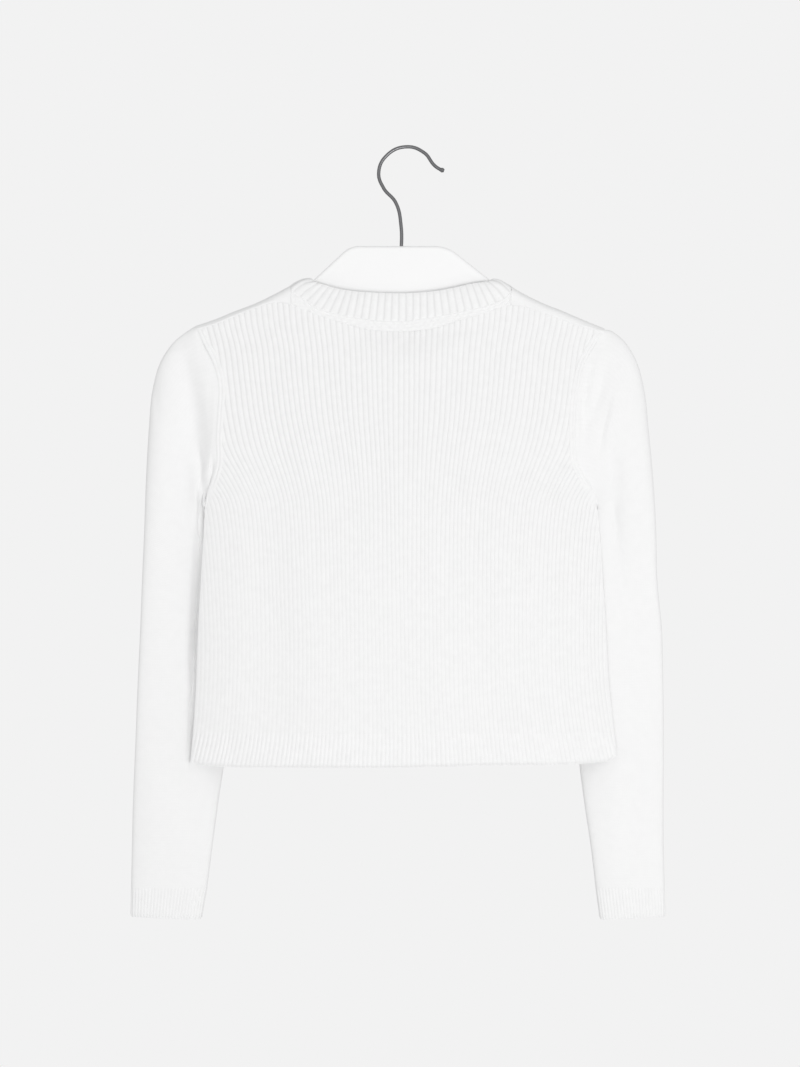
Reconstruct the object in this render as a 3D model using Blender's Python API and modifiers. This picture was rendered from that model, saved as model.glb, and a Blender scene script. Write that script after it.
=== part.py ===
"""Cropped rib-knit cardigan hung on a flat clothes hanger.

Frame: +Z is up, the back of the garment faces -Y, and +X is the wearer's right. The origin is the
point where the hook hangs, inside the top of its bend and above its stem.

Every size is in millimetres; MM turns it into metres where a mesh is made. The cloth is laid out on
a chart of two numbers: x, across the garment, and q, the way down it from the top of the shoulder,
with q below 0 on the back and above 0 on the front. on_cloth() turns a chart point into a place.
"""

import math
from collections import namedtuple

import bmesh
import bpy
import numpy as np
from mathutils import Vector

MM = 0.001

# ------------------------------------------------------------------ driving sizes, millimetres
RIB_WALL = 2.0                  # rib knit of the body
PLAIN_WALL = 1.6                # plain knit of the sleeves
TRIM_WALL = 2.2                 # hem, cuffs, neckband and front bands
SEAM = 0.4                      # gap between two pieces at a seam
HALF_SEAM = SEAM / 2
SHOULDER_BEND = 7.5             # radius of the cloth's bend over the hanger
SEAT = 0.9                      # room between the cloth and the top of the hanger
ARMPIT = -355.0                 # height where side seam, armhole and underarm meet
TIP = -176.0                    # height of the shoulder tips
HEM_SEAM = -583.6               # height where the hem rib starts
CUFF_SEAM = -739.0              # height where the cuff rib starts
NECK_CORNER = 111.0             # distance from the middle to where the front meets the neck strip
BAND_WIDTH = 25.0               # front bands, which lap fully over each other
BAND_TOP = -214.0               # top of the front bands, level with the neckband
BUTTONS = 6
BUTTON_ACROSS = 11.5
BUTTON_THICK = 2.4
HANGER_THICK = 8.0
HOOK_WIRE = 3.5
HOOK_SOCKET = 14.0              # depth of the hook's hole in the board
HOOK_BORE = 4.3                 # width of that hole

# ------------------------------------------------------------------ the garment's outline

# The top of the shoulders, from one tip over the neckband's ends to the other.
Ridge = namedtuple("Ridge", "x z")
RIDGE = [
    Ridge(-206, -176.8), Ridge(-185, -169.6), Ridge(-166, -161.8), Ridge(-147, -154.6),
    Ridge(-130, -146.6), Ridge(-113, -137.4), Ridge(-103, -131.6), Ridge(-95, -129.0),
    Ridge(-88, -129.0), Ridge(0, -129.0), Ridge(88, -129.0), Ridge(98, -130.2),
    Ridge(106, -134.4), Ridge(123, -144.6), Ridge(141, -153.4), Ridge(160, -161.0),
    Ridge(183, -170.8), Ridge(206, -180.2),
]

# The back panel's top edge: shoulder seam, foot of the neck strip, shoulder seam.
BackTop = namedtuple("BackTop", "x z")
BACK_TOP = [
    BackTop(-206, -181.6), BackTop(-185, -175.4), BackTop(-166, -167.6), BackTop(-147, -160.0),
    BackTop(-130, -154.6), BackTop(-118, -154.0), BackTop(-109, -156.8), BackTop(-82, -166.6),
    BackTop(-55, -175.2), BackTop(-30, -180.6), BackTop(0, -182.0), BackTop(30, -179.4),
    BackTop(55, -172.4), BackTop(82, -165.0), BackTop(109, -156.6), BackTop(118, -157.2),
    BackTop(152, -167.6), BackTop(171, -174.8), BackTop(190, -180.4), BackTop(206, -184.6),
]

# Sides and armholes from the shoulder tips down: half the garment's depth in the middle of each
# face, and the depth left at the side edge, where the sleeve is set in.
Level = namedtuple("Level", "z left right back front edge")
LEVELS = [
    Level(-176.0, -205.8, 205.8, 11.5, 11.5, 7.5),
    Level(-195.6, -197.0, 194.0, 12.5, 12.5, 8.6),
    Level(-214.6, -187.4, 183.0, 13.4, 13.6, 11.0),
    Level(-233.6, -182.8, 178.2, 14.4, 14.8, 13.0),
    Level(-262.0, -183.2, 174.4, 16.0, 16.4, 14.0),
    Level(-290.6, -185.0, 174.4, 17.4, 17.8, 13.0),
    Level(-314.0, -184.8, 176.6, 18.6, 19.0, 10.4),
    Level(-334.0, -190.6, 187.4, 19.4, 19.8, 6.6),
    Level(-346.0, -194.4, 193.4, 19.8, 20.2, 3.4),
    Level(-355.0, -196.0, 195.8, 20.2, 20.6, 0.0),
    Level(-378.0, -197.0, 198.2, 20.8, 21.2, 0.0),
    Level(-427.0, -200.0, 201.8, 21.6, 22.0, 0.0),
    Level(-483.0, -203.0, 205.2, 22.0, 22.4, 0.0),
    Level(-539.0, -205.2, 208.4, 21.8, 22.2, 0.0),
    Level(-584.0, -208.0, 213.4, 21.2, 21.6, 0.0),
    Level(-618.0, -211.2, 216.6, 20.6, 21.0, 0.0),
]

# The hem's lower edge.
HemEdge = namedtuple("HemEdge", "x z")
HEM_EDGE = [
    HemEdge(-212, -613.6), HemEdge(-196, -615.8), HemEdge(-177, -617.0), HemEdge(-113, -617.6),
    HemEdge(19, -617.0), HemEdge(83, -615.3), HemEdge(179, -614.0), HemEdge(196, -612.8),
    HemEdge(209, -611.0), HemEdge(217, -606.0),
]

# The neckband on the back, from the left ridge to the right one: its upper and its lower edge.
BandRow = namedtuple("BandRow", "x_up z_up x_low z_low")
BAND_ROWS = [
    BandRow(-88.0, -129.8, -109.6, -138.2), BandRow(-86.5, -131.8, -107.2, -142.6),
    BandRow(-83.0, -133.4, -101.0, -147.2),
    BandRow(-76.0, -135.9, -92.0, -153.2), BandRow(-66.0, -139.0, -79.0, -160.6),
    BandRow(-48.0, -142.2, -54.0, -166.8), BandRow(-24.0, -143.9, -27.0, -171.0),
    BandRow(0.0, -144.5, 0.0, -172.0), BandRow(20.0, -143.6, 20.0, -169.8),
    BandRow(38.0, -141.6, 41.0, -166.2), BandRow(55.0, -138.3, 60.0, -162.4),
    BandRow(73.0, -134.2, 82.0, -157.6), BandRow(83.5, -132.2, 97.0, -152.4),
    BandRow(88.4, -131.2, 106.6, -145.6), BandRow(90.0, -129.6, 109.6, -139.4),
]
RIDGE_UP = (-88.5, 90.5)        # where the band's two edges cross the ridge, left and right
RIDGE_LOW = (-110.3, 110.3)
FRONT_NECK_UP = 78.5            # from the foot of the shoulder bend down to the band's edges at the centre
FRONT_NECK_LOW = 104.0
BAND_ROLL = 1.6                 # how far the band's face rounds out between its edges

# A sleeve from the shoulder tip down: the outer and the inner edge of each section, its half
# thickness, how far each edge hangs forward, its bow towards the body, and how deep the fold
# beside the armhole is.
Section = namedtuple("Section", "z_out left_out right_out z_in left_in right_in"
                                " half forward_out forward_in bow fold")
SLEEVE = [
    Section(-182.5, -214.5, 212.0, -358, -197.0, 197.0, 15.0, 0, 0, 12, 2.0),
    Section(-192.0, -226.5, 223.5, -362, -197.4, 197.8, 15.5, 0, 2, 7, 5.0),
    Section(-212.6, -240.6, 235.8, -367, -197.6, 198.2, 16.0, 0, 5, 3, 8.0),
    Section(-240.0, -248.4, 243.2, -373, -195.6, 197.0, 16.0, 1, 9, 1, 9.0),
    Section(-281.0, -252.3, 247.8, -381, -191.6, 193.4, 15.6, 2, 13, 0, 9.0),
    Section(-330.0, -255.2, 252.5, -392, -187.0, 189.0, 15.0, 4, 16, 0, 8.0),
    Section(-378.6, -257.0, 255.4, -409, -181.4, 183.4, 14.0, 6, 18, 0, 6.0),
    Section(-426.0, -259.2, 256.6, -433, -178.0, 180.0, 13.0, 9, 19, 0, 4.0),
    Section(-480.0, -261.4, 261.4, -481, -172.0, 174.0, 12.0, 11, 20, 0, 2.0),
    Section(-540.0, -264.2, 263.0, -540, -171.0, 173.0, 11.4, 12, 20, 0, 0.0),
    Section(-596.0, -266.4, 263.6, -596, -175.0, 177.0, 11.0, 13, 19, 0, 0.0),
    Section(-652.0, -268.6, 263.2, -652, -183.0, 183.6, 10.4, 13, 17, 0, 0.0),
    Section(-700.0, -269.8, 263.4, -700, -189.4, 190.6, 10.0, 12, 15, 0, 0.0),
    Section(-739.0, -270.6, 264.4, -739, -194.4, 195.2, 9.6, 12, 13, 0, 0.0),
    Section(-768.0, -271.2, 265.2, -771, -200.0, 199.4, 9.2, 12, 12, 0, 0.0),
]

# The hanger board's visible top, and its lower edge inside the garment.
BOARD_TOP = -96.8
BOARD_FLAT = (-51.0, 46.0)      # ends of its flat top
BOARD_CORNER = 5.0              # how much of each top and tip corner is cut round
BOARD_NECK = (-89.0, 91.0)      # where the board's slopes go under the neckband
BOARD_TIP = (-199.0, 199.0)
TIP_HEIGHT = 18.0
BoardFoot = namedtuple("BoardFoot", "x z")
BOARD_FOOT = [
    BoardFoot(-176, -190), BoardFoot(-130, -177), BoardFoot(-80, -166), BoardFoot(-30, -156),
    BoardFoot(0, -154), BoardFoot(30, -156), BoardFoot(80, -166), BoardFoot(130, -178),
    BoardFoot(176, -192),
]

# The wire's centre line above the board, up the stem and round to the tip, which is a small ball.
HookPoint = namedtuple("HookPoint", "x z thick")
HOOK = [
    HookPoint(0.0, -109.0, 1.0), HookPoint(0.0, -76.0, 1.0), HookPoint(-5.2, -53.4, 1.0),
    HookPoint(-17.6, -38.4, 1.0), HookPoint(-22.3, -23.4, 1.0), HookPoint(-14.6, -6.4, 1.0),
    HookPoint(5.4, 2.6, 1.0), HookPoint(23.2, -3.4, 1.0), HookPoint(33.4, -16.0, 1.0),
    HookPoint(38.8, -19.8, 1.0), HookPoint(41.4, -20.8, 1.42), HookPoint(43.2, -21.4, 0.9),
]

# ------------------------------------------------------------------ places that pieces share at a seam

# Columns along a shoulder and rows down an armhole and a side: pieces that meet at a seam share them,
# so that their flat facets meet too.
SHOULDER_COLUMNS = (185.0, 166.0, 147.0, 130.0, 119.0)
ARMHOLE_ROWS = (-194.0, -213.0, -238.0, -266.0, -293.0, -318.0, -337.0, -349.0)
SIDE_ROWS = (-378.0, -414.0, -450.0, -486.0, -522.0, -554.0)
FALL_ROWS = ARMHOLE_ROWS + (ARMPIT,) + SIDE_ROWS + (HEM_SEAM + HALF_SEAM,)
HEM_COLUMNS = 18
NECK_STEPS = 8                  # parts of the neckline on each half of the front

# ------------------------------------------------------------------ colours
Finish = namedtuple("Finish", "colour roughness metallic")
FINISHES = {
    "rib_knit": Finish((0.86, 0.86, 0.85), 0.9, 0.0),
    "plain_knit": Finish((0.87, 0.87, 0.86), 0.9, 0.0),
    "button_resin": Finish((0.84, 0.83, 0.80), 0.35, 0.0),
    "hanger_plastic": Finish((0.93, 0.93, 0.93), 0.45, 0.0),
    "hook_steel": Finish((0.62, 0.62, 0.63), 0.25, 1.0),
}


def smooth_line(points):
    """A smooth curve y(x) through a table's points: cubic pieces whose slopes follow the neighbours."""
    points = sorted(points)
    xs = np.array([p[0] for p in points], dtype=float)
    ys = np.array([p[1] for p in points], dtype=float)
    slopes = np.gradient(ys, xs)

    def at(x):
        x = min(max(x, xs[0]), xs[-1])
        i = min(int(np.searchsorted(xs, x, side="right")) - 1, len(xs) - 2)
        span = xs[i + 1] - xs[i]
        t = (x - xs[i]) / span
        start = (1 + 2 * t) * (1 - t) ** 2 * ys[i] + t * (1 - t) ** 2 * span * slopes[i]
        end = t * t * (3 - 2 * t) * ys[i + 1] - t * t * (1 - t) * span * slopes[i + 1]
        return float(start + end)

    return at


ridge = smooth_line(RIDGE)
back_top = smooth_line(BACK_TOP)
hem_edge = smooth_line(HEM_EDGE)
board_foot = smooth_line(BOARD_FOOT)
side_left = smooth_line([(row.z, row.left) for row in LEVELS])
side_right = smooth_line([(row.z, row.right) for row in LEVELS])
depth_back = smooth_line([(row.z, row.back) for row in LEVELS])
depth_front = smooth_line([(row.z, row.front) for row in LEVELS])
depth_edge = smooth_line([(row.z, row.edge) for row in LEVELS])

QUARTER_BEND = SHOULDER_BEND * math.pi / 2      # from the ridge to the foot of the bend


def lerp(a, b, t):
    return a + (b - a) * t


def share(a, b, value):
    """Where value lies from a (0) to b (1)."""
    return (value - a) / (b - a)


def even(start, end, steps):
    """Evenly spaced values from start to end, both included."""
    return [lerp(start, end, i / steps) for i in range(steps + 1)]


# ------------------------------------------------------------------ the cloth's form

def half_depth(x, z, side):
    """How far the cloth's outer face stands from the middle plane; side is -1 on the back, 1 on the front."""
    left, right = side_left(z), side_right(z)
    across = (x - (left + right) / 2) / ((right - left) / 2)
    lens = max(0.0, 1 - across * across) ** 0.65
    middle = depth_back(z) if side < 0 else depth_front(z)
    edge = depth_edge(z)
    drop = min(max(ridge(x) - z, 0.0) / SHOULDER_BEND, 1.0)
    bend = math.sqrt(1 - (1 - drop) ** 2)
    return bend * (edge + (middle - edge) * lens)


def height_of(x, q):
    """Height of the chart point x, q."""
    if abs(q) < QUARTER_BEND:
        return ridge(x) - SHOULDER_BEND * (1 - math.cos(q / SHOULDER_BEND))
    return ridge(x) - SHOULDER_BEND - (abs(q) - QUARTER_BEND)


def chart_q(x, z, side):
    """The chart's q of the point at x and z on the back (-1) or the front (1)."""
    drop = max(ridge(x) - z, 0.0)
    if drop < SHOULDER_BEND:
        return side * SHOULDER_BEND * math.acos(1 - drop / SHOULDER_BEND)
    return side * (QUARTER_BEND + drop - SHOULDER_BEND)


def on_cloth(x, q):
    """The outer face's point at x, q, kept half a seam from the middle plane below the armpit."""
    z = height_of(x, q)
    side = -1 if q < 0 else 1
    least = HALF_SEAM if z <= ARMPIT + 0.01 else 0.0
    return Vector((x, side * max(half_depth(x, z, side), least), z))


def outward(point):
    """The direction that the cloth's outer face looks in, from the slope of its depth squared."""
    x, y, z = point
    side = -1 if y < 0 else 1
    if z <= ARMPIT + 0.01 and abs(y) < HALF_SEAM + 0.01:
        return Vector((math.copysign(1.0, x), 0.0, 0.0))
    step = 0.25

    def squared(px, pz):
        return half_depth(px, pz, side) ** 2

    slope_x = (squared(x + step, z) - squared(x - step, z)) / (2 * step)
    slope_z = (squared(x, z + step) - squared(x, z - step)) / (2 * step)
    return Vector((-slope_x / 2, y, -slope_z / 2)).normalized()


# A point of a wall's outer face and the point behind it on the inner face.
Knot = namedtuple("Knot", "outer inner")


def cloth_knot(x, q, wall, at_armhole=False, sunk=0.0):
    """A knot of the body's cloth; its wall is square at an armhole and stays on its side of the middle."""
    point = on_cloth(x, q)
    normal = outward(point)
    if at_armhole and point.z > ARMPIT + 0.01:
        normal = Vector((0.0, normal.y, normal.z)).normalized()
    outer = point - sunk * normal
    inner = outer - wall * normal
    if abs(q) > 2 * QUARTER_BEND:
        side = -1 if q < 0 else 1
        inner.y = side * max(side * inner.y, HALF_SEAM)
    return Knot(outer, inner)


def side_x(hand, q):
    """X of a panel's side edge at q; along an armhole it stays half a seam inside the line of the sleeve."""
    line = side_left if hand < 0 else side_right
    x = line(TIP)
    for _ in range(6):
        x = line(height_of(x, q))
    return x - hand * (HALF_SEAM if height_of(x, q) > ARMPIT + 0.01 else 0.0)


def side_q(hand, z, face):
    """The chart's q at height z on a side edge."""
    line = side_left if hand < 0 else side_right
    return chart_q(line(z), z, face)


# ------------------------------------------------------------------ building

def finish_material(name):
    material = bpy.data.materials.get(name)
    if material is None:
        finish = FINISHES[name]
        material = bpy.data.materials.new(name)
        material.use_nodes = True
        shader = material.node_tree.nodes["Principled BSDF"]
        shader.inputs["Base Color"].default_value = (*finish.colour, 1.0)
        shader.inputs["Roughness"].default_value = finish.roughness
        shader.inputs["Metallic"].default_value = finish.metallic
        material.diffuse_color = (*finish.colour, 1.0)
    return material


def add_object(name, mesh, finish, collection):
    piece = bpy.data.objects.new(name, mesh)
    mesh.materials.append(finish_material(finish))
    collection.objects.link(piece)
    return piece


def knit_wall(name, rows, finish, collection, closed=False):
    """A cloth wall from a grid of knots: its outer face, its inner face and a rim round every edge.

    A place of the grid may be None where there is no cloth. A closed grid is joined into a tube.
    """
    bm = bmesh.new()
    outer = [[knot and bm.verts.new(knot.outer * MM) for knot in row] for row in rows]
    inner = [[knot and bm.verts.new(knot.inner * MM) for knot in row] for row in rows]
    mate = {}
    for outer_row, inner_row in zip(outer, inner):
        mate.update({a: b for a, b in zip(outer_row, inner_row) if a})
    columns = len(rows[0])
    outer_faces = []
    for i in range(len(rows) - 1):
        for j in range(columns if closed else columns - 1):
            k = (j + 1) % columns
            corners = [outer[i][j], outer[i][k], outer[i + 1][k], outer[i + 1][j]]
            if all(corners):
                outer_faces.append(bm.faces.new(corners))
    rim = [edge for face in outer_faces for edge in face.edges if len(edge.link_faces) == 1]
    for face in outer_faces:
        bm.faces.new([mate[v] for v in reversed(face.verts)])
    for edge in rim:
        a, b = edge.verts
        bm.faces.new([a, b, mate[b], mate[a]])
    bmesh.ops.delete(bm, geom=[v for v in bm.verts if not v.link_faces], context="VERTS")
    bmesh.ops.recalc_face_normals(bm, faces=bm.faces)
    mesh = bpy.data.meshes.new(name)
    bm.to_mesh(mesh)
    bm.free()
    mesh.shade_smooth()
    mesh.set_sharp_from_angle(angle=math.radians(40))
    return add_object(name, mesh, finish, collection)


# ------------------------------------------------------------------ lines that pieces share at a seam

def band_lines():
    """The neckband's two edges as chart points, from the left front band round the back to the right."""
    last = [math.acos((BAND_WIDTH / 2 + SEAM) / reach) for reach in (-RIDGE_UP[0], -RIDGE_LOW[0])]

    def front(i, hand):
        turn = i / NECK_STEPS
        return [(hand * reach * math.cos(turn * end), QUARTER_BEND + fall * math.sin(turn * end))
                for reach, fall, end in ((-RIDGE_UP[0], FRONT_NECK_UP, last[0]),
                                         (-RIDGE_LOW[0], FRONT_NECK_LOW, last[1]))]

    def over(side, q):
        return [(RIDGE_UP[side], q * 0.7), (RIDGE_LOW[side], q)]

    pairs = [front(i, -1) for i in range(NECK_STEPS, 0, -1)]
    pairs += [over(0, QUARTER_BEND), over(0, QUARTER_BEND / 2), over(0, 0.0)]
    pairs += [[(r.x_up, chart_q(r.x_up, r.z_up, -1)), (r.x_low, chart_q(r.x_low, r.z_low, -1))]
              for r in BAND_ROWS]
    pairs += [over(1, 0.0), over(1, QUARTER_BEND / 2), over(1, QUARTER_BEND)]
    pairs += [front(i, 1) for i in range(1, NECK_STEPS + 1)]
    return [pair[0] for pair in pairs], [pair[1] for pair in pairs]


def moved_out(line, distance):
    """A chart line moved sideways, to the right of its course."""
    moved = []
    for i, (x, q) in enumerate(line):
        before, after = line[max(i - 1, 0)], line[min(i + 1, len(line) - 1)]
        along = Vector((after[0] - before[0], after[1] - before[1])).normalized()
        moved.append((x + distance * along.y, q - distance * along.x))
    return moved


UP_LINE, LOW_LINE = band_lines()
OUTER_LINE = moved_out(LOW_LINE, SEAM)           # the body's side of the seam under the neckband
BACK_START = NECK_STEPS + 3                      # first place of BAND_ROWS in these lines
BACK_PART = OUTER_LINE[BACK_START:BACK_START + len(BAND_ROWS)]


def strip_foot(x):
    """Chart point of the neck strip's lower edge under the place x of its upper edge."""
    foot_x = x * (NECK_CORNER - SEAM) / abs(BACK_PART[0][0])
    return foot_x, chart_q(foot_x, back_top(foot_x) + HALF_SEAM, -1)


def fold_rows(q_seam):
    """Rows of a front panel from its seam on the back over the shoulder to the foot of the bend."""
    return [q_seam, -min(QUARTER_BEND, -0.75 * q_seam), -min(QUARTER_BEND / 2, -0.4 * q_seam), 0.0,
            QUARTER_BEND / 2, QUARTER_BEND]


def tip_seam_q(hand):
    """The shoulder seam's q at a shoulder tip."""
    return chart_q(hand * 205.0, back_top(hand * 205.0) + HALF_SEAM, -1)


def fall_shares(hand, face, q_top):
    """Shares of the way down at which a panel's rows lie, so that they meet the seams of its side edge."""
    marks = [q_top] + [side_q(hand, z, face) for z in FALL_ROWS]
    return [share(marks[0], marks[-1], q) for q in marks]


# ------------------------------------------------------------------ body panels

def back_columns():
    """X of the back panel's columns at its top edge; None stands for a side edge."""
    feet = [strip_foot(x)[0] for x, _ in BACK_PART]
    shoulder = list(SHOULDER_COLUMNS)
    return ([None] + [-x for x in shoulder] + [-NECK_CORNER] + feet
            + [NECK_CORNER] + shoulder[::-1] + [None])


def make_back(collection):
    top_q = {hand: chart_q(hand * 205.0, back_top(hand * 205.0) - HALF_SEAM, -1) for hand in (-1, 1)}
    shares = {hand: fall_shares(hand, -1, top_q[hand]) for hand in (-1, 1)}
    foot_q = {hand: side_q(hand, FALL_ROWS[-1], -1) for hand in (-1, 1)}
    columns = []
    count = len(back_columns()) - 1
    for i, x_top in enumerate(back_columns()):
        if x_top is None:
            hand = -1 if i == 0 else 1
            q_top, t = top_q[hand], (hand + 1) / 2
        else:
            q_top = chart_q(x_top, back_top(x_top) - HALF_SEAM, -1)
            t = share(side_x(-1, top_q[-1]), side_x(1, top_q[1]), x_top)
        t_foot = lerp(t, i / count, 0.35)
        x_foot = lerp(side_x(-1, foot_q[-1]), side_x(1, foot_q[1]), t_foot)
        q_foot = chart_q(x_foot, FALL_ROWS[-1], -1)
        column = []
        for left, right in zip(shares[-1], shares[1]):
            v = lerp(left, right, t)
            side_start = side_x(-1, lerp(top_q[-1], foot_q[-1], left))
            side_end = side_x(1, lerp(top_q[1], foot_q[1], right))
            x = lerp(side_start, side_end, lerp(t, t_foot, v))
            column.append(cloth_knot(x, lerp(q_top, q_foot, v), RIB_WALL, at_armhole=x_top is None))
        columns.append(column)
    knit_wall("back", list(zip(*columns)), "rib_knit", collection)


def front_columns(hand, edge_x):
    """A front panel's columns: those that fold over the shoulder first, then those that end at the neck."""
    neck = OUTER_LINE[:NECK_STEPS][::-1] if hand < 0 else OUTER_LINE[-NECK_STEPS:]
    tops = [None] + [hand * x for x in SHOULDER_COLUMNS + (NECK_CORNER,)]
    seam = tip_seam_q(hand)
    shares = fall_shares(hand, 1, QUARTER_BEND)
    foot_q = side_q(hand, FALL_ROWS[-1], 1)
    foot_side = side_x(hand, foot_q)
    corner_share = share(foot_side, edge_x, hand * NECK_CORNER)
    columns = []
    for i, x_top in enumerate(tops + neck):
        if i < len(tops):
            t = corner_share * i / (len(tops) - 1)
            q_top = QUARTER_BEND
            q_seam = seam if x_top is None else chart_q(x_top, back_top(x_top) + HALF_SEAM, -1)
            fold = [cloth_knot(x_top or side_x(hand, q), q, RIB_WALL, at_armhole=x_top is None)
                    for q in fold_rows(q_seam)[:-1]]
            x_start = side_x(hand, q_top) if x_top is None else x_top
        else:
            t = lerp(corner_share, 1.0, (i + 1 - len(tops)) / len(neck))
            x_start, q_top = x_top
            fold = [None] * (len(fold_rows(seam)) - 1)
        x_foot = lerp(foot_side, edge_x, t)
        column = []
        for v in shares:
            q = lerp(q_top, chart_q(x_foot, FALL_ROWS[-1], 1), v)
            side = side_x(hand, lerp(QUARTER_BEND, foot_q, v))
            curve = side - lerp(side_x(hand, QUARTER_BEND), foot_side, v)
            x = lerp(x_start, x_foot, v) + max(0.0, 1 - t / corner_share) * curve
            column.append(cloth_knot(x, q, RIB_WALL, at_armhole=x_top is None))
        columns.append(fold + column)
    return columns


def make_fronts(collection):
    for name, hand in (("front_left", -1), ("front_right", 1)):
        columns = front_columns(hand, hand * (BAND_WIDTH / 2 + SEAM))
        knit_wall(name, list(zip(*columns)), "rib_knit", collection)


def make_hems(collection):
    """The hem ribs of the back and of both fronts, from the hem seam down to the edge."""
    edge = BAND_WIDTH / 2 + SEAM
    for name, face, start, end in (("hem_back", -1, None, None),
                                   ("hem_front_left", 1, None, -edge), ("hem_front_right", 1, edge, None)):
        rows = []
        for v in (0.0, 0.5, 1.0):
            row = []
            for i in range(HEM_COLUMNS + 1):
                t = (1 - math.cos(math.pi * i / HEM_COLUMNS)) / 2
                x = 0.0
                for _ in range(4):
                    q = chart_q(x, lerp(HEM_SEAM - HALF_SEAM, hem_edge(x), v), face)
                    first = side_x(-1, q) if start is None else start
                    last = side_x(1, q) if end is None else end
                    x = lerp(first, last, t)
                row.append(cloth_knot(x, q, TRIM_WALL))
            rows.append(row)
        knit_wall(name, rows, "rib_knit", collection)


# ------------------------------------------------------------------ neck

def numeric_normals(points, closed, centres):
    """Outward directions of a grid of points, square to the lines between each point's neighbours."""
    rows, columns = len(points), len(points[0])
    normals = []
    for i in range(rows):
        line = []
        for j in range(columns):
            down = points[min(i + 1, rows - 1)][j] - points[max(i - 1, 0)][j]
            if closed:
                across = points[i][(j + 1) % columns] - points[i][j - 1]
            else:
                across = points[i][min(j + 1, columns - 1)] - points[i][max(j - 1, 0)]
            normal = down.cross(across).normalized()
            if normal.dot(points[i][j] - centres[i][j]) < 0:
                normal = -normal
            line.append(normal)
        normals.append(line)
    return normals


def make_neckband(collection):
    points, centres = [], []
    for w in even(0, 1, 3):
        row = []
        for (x_up, q_up), (x_low, q_low) in zip(UP_LINE, LOW_LINE):
            q = lerp(q_up, q_low, w)
            point = on_cloth(lerp(x_up, x_low, w), q)
            roll = BAND_ROLL * 4 * w * (1 - w) * min(abs(q) / QUARTER_BEND, 1.0)
            row.append(point + roll * outward(point))
        points.append(row)
        centres.append([Vector((point.x * 0.9, 0, point.z - 12)) for point in row])
    normals = numeric_normals(points, False, centres)
    normals[-1] = [outward(point) for point in points[-1]]
    rows = [[Knot(p, p - TRIM_WALL * n) for p, n in zip(*pair)] for pair in zip(points, normals)]
    knit_wall("neckband", rows, "rib_knit", collection)


def make_neck_strip(collection):
    rows = [[], [], []]
    for x, q in BACK_PART:
        foot_x, foot_q = strip_foot(x)
        for row, v in zip(rows, (0.0, 0.5, 1.0)):
            row.append(cloth_knot(lerp(x, foot_x, v), lerp(q, foot_q, v), RIB_WALL))
    knit_wall("neck_strip", rows, "rib_knit", collection)


# ------------------------------------------------------------------ front bands and buttons

def make_bands(collection):
    half = BAND_WIDTH / 2
    for name, sunk in (("band_buttonhole", 0.0), ("band_button", TRIM_WALL + 0.3)):
        rows = []
        for v in even(0, 1, 12):
            rows.append([cloth_knot(x, chart_q(x, lerp(BAND_TOP, hem_edge(x), v), 1), TRIM_WALL, sunk=sunk)
                         for x in (-half, 0.0, half)])
        knit_wall(name, rows, "rib_knit", collection)


def make_buttons(collection):
    """Turned discs with a rounded rim and a dished face, lying on the buttonhole band."""
    radius = BUTTON_ACROSS / 2
    profile = [(0.0, 0.75), (0.55, 0.75), (0.72, 1.0), (0.9, 1.0), (1.0, 0.6), (0.85, 0.0), (0.0, 0.0)]
    for i in range(BUTTONS):
        z = lerp(BAND_TOP - 12, HEM_SEAM - 16, i / (BUTTONS - 1))
        bm = bmesh.new()
        points = [bm.verts.new((r * radius * MM, 0, h * BUTTON_THICK * MM)) for r, h in profile]
        chain = [bm.edges.new(pair) for pair in zip(points, points[1:])]
        bmesh.ops.spin(bm, geom=points + chain, cent=(0, 0, 0), axis=(0, 0, 1), angle=2 * math.pi,
                       steps=16, use_merge=True)
        bmesh.ops.remove_doubles(bm, verts=bm.verts, dist=1e-6)
        bmesh.ops.recalc_face_normals(bm, faces=bm.faces)
        mesh = bpy.data.meshes.new(f"button_{i + 1}")
        bm.to_mesh(mesh)
        bm.free()
        button = add_object(f"button_{i + 1}", mesh, "button_resin", collection)
        button.rotation_euler = (-math.pi / 2, 0, 0)
        face = max(half_depth(0, height, 1) for height in (z - radius, z, z + radius))
        button.location = Vector((0, face + 0.3, z)) * MM


# ------------------------------------------------------------------ sleeves and cuffs

def armhole_points(hand):
    """The panels' points round an armhole, from the ridge down the back, past the armpit and up the front."""
    folds = fold_rows(tip_seam_q(hand))
    back = [folds[2], folds[1], folds[0]] + [side_q(hand, z, -1) for z in ARMHOLE_ROWS]
    front = folds[4:] + [side_q(hand, z, 1) for z in ARMHOLE_ROWS]
    around = [0.0] + back + [side_q(hand, ARMPIT, 1)] + front[::-1]
    return [(on_cloth(side_x(hand, q), q), -1 if q < 0 else 1) for q in around]


def sleeve_shares(hand):
    """For each point round a sleeve: its share of the way from the outer to the inner edge, and its face."""
    points = armhole_points(hand)
    return [(share(points[0][0].z, ARMPIT, point.z), face) for point, face in points]


def armhole_ring(hand):
    """The sleeve's first ring, a seam outside the armhole of the back and the front."""
    return [point + Vector((hand * SEAM, 0, 0)) for point, _ in armhole_points(hand)]


def section_ring(hand, section):
    """The ring of a row of SLEEVE: a flat round, with the fold beside the armhole pressed into it."""
    x_out, x_in = (section.left_out, section.left_in) if hand < 0 else (section.right_out, section.right_in)
    ring = []
    for w, face in sleeve_shares(hand):
        round_ = math.sqrt(max(0.0, 1 - (2 * w - 1) ** 2))
        fold = section.fold * round_ * math.exp(-((w - 0.72) / 0.2) ** 2)
        swell = section.half * round_ ** 0.9 - (1.0 if face < 0 else 0.7) * fold
        x = lerp(x_out, x_in, w) - hand * section.bow * math.sin(math.pi * w)
        y = lerp(section.forward_out, section.forward_in, w) + face * swell
        ring.append(Vector((x, y, lerp(section.z_out, section.z_in, w))))
    return ring


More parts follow.
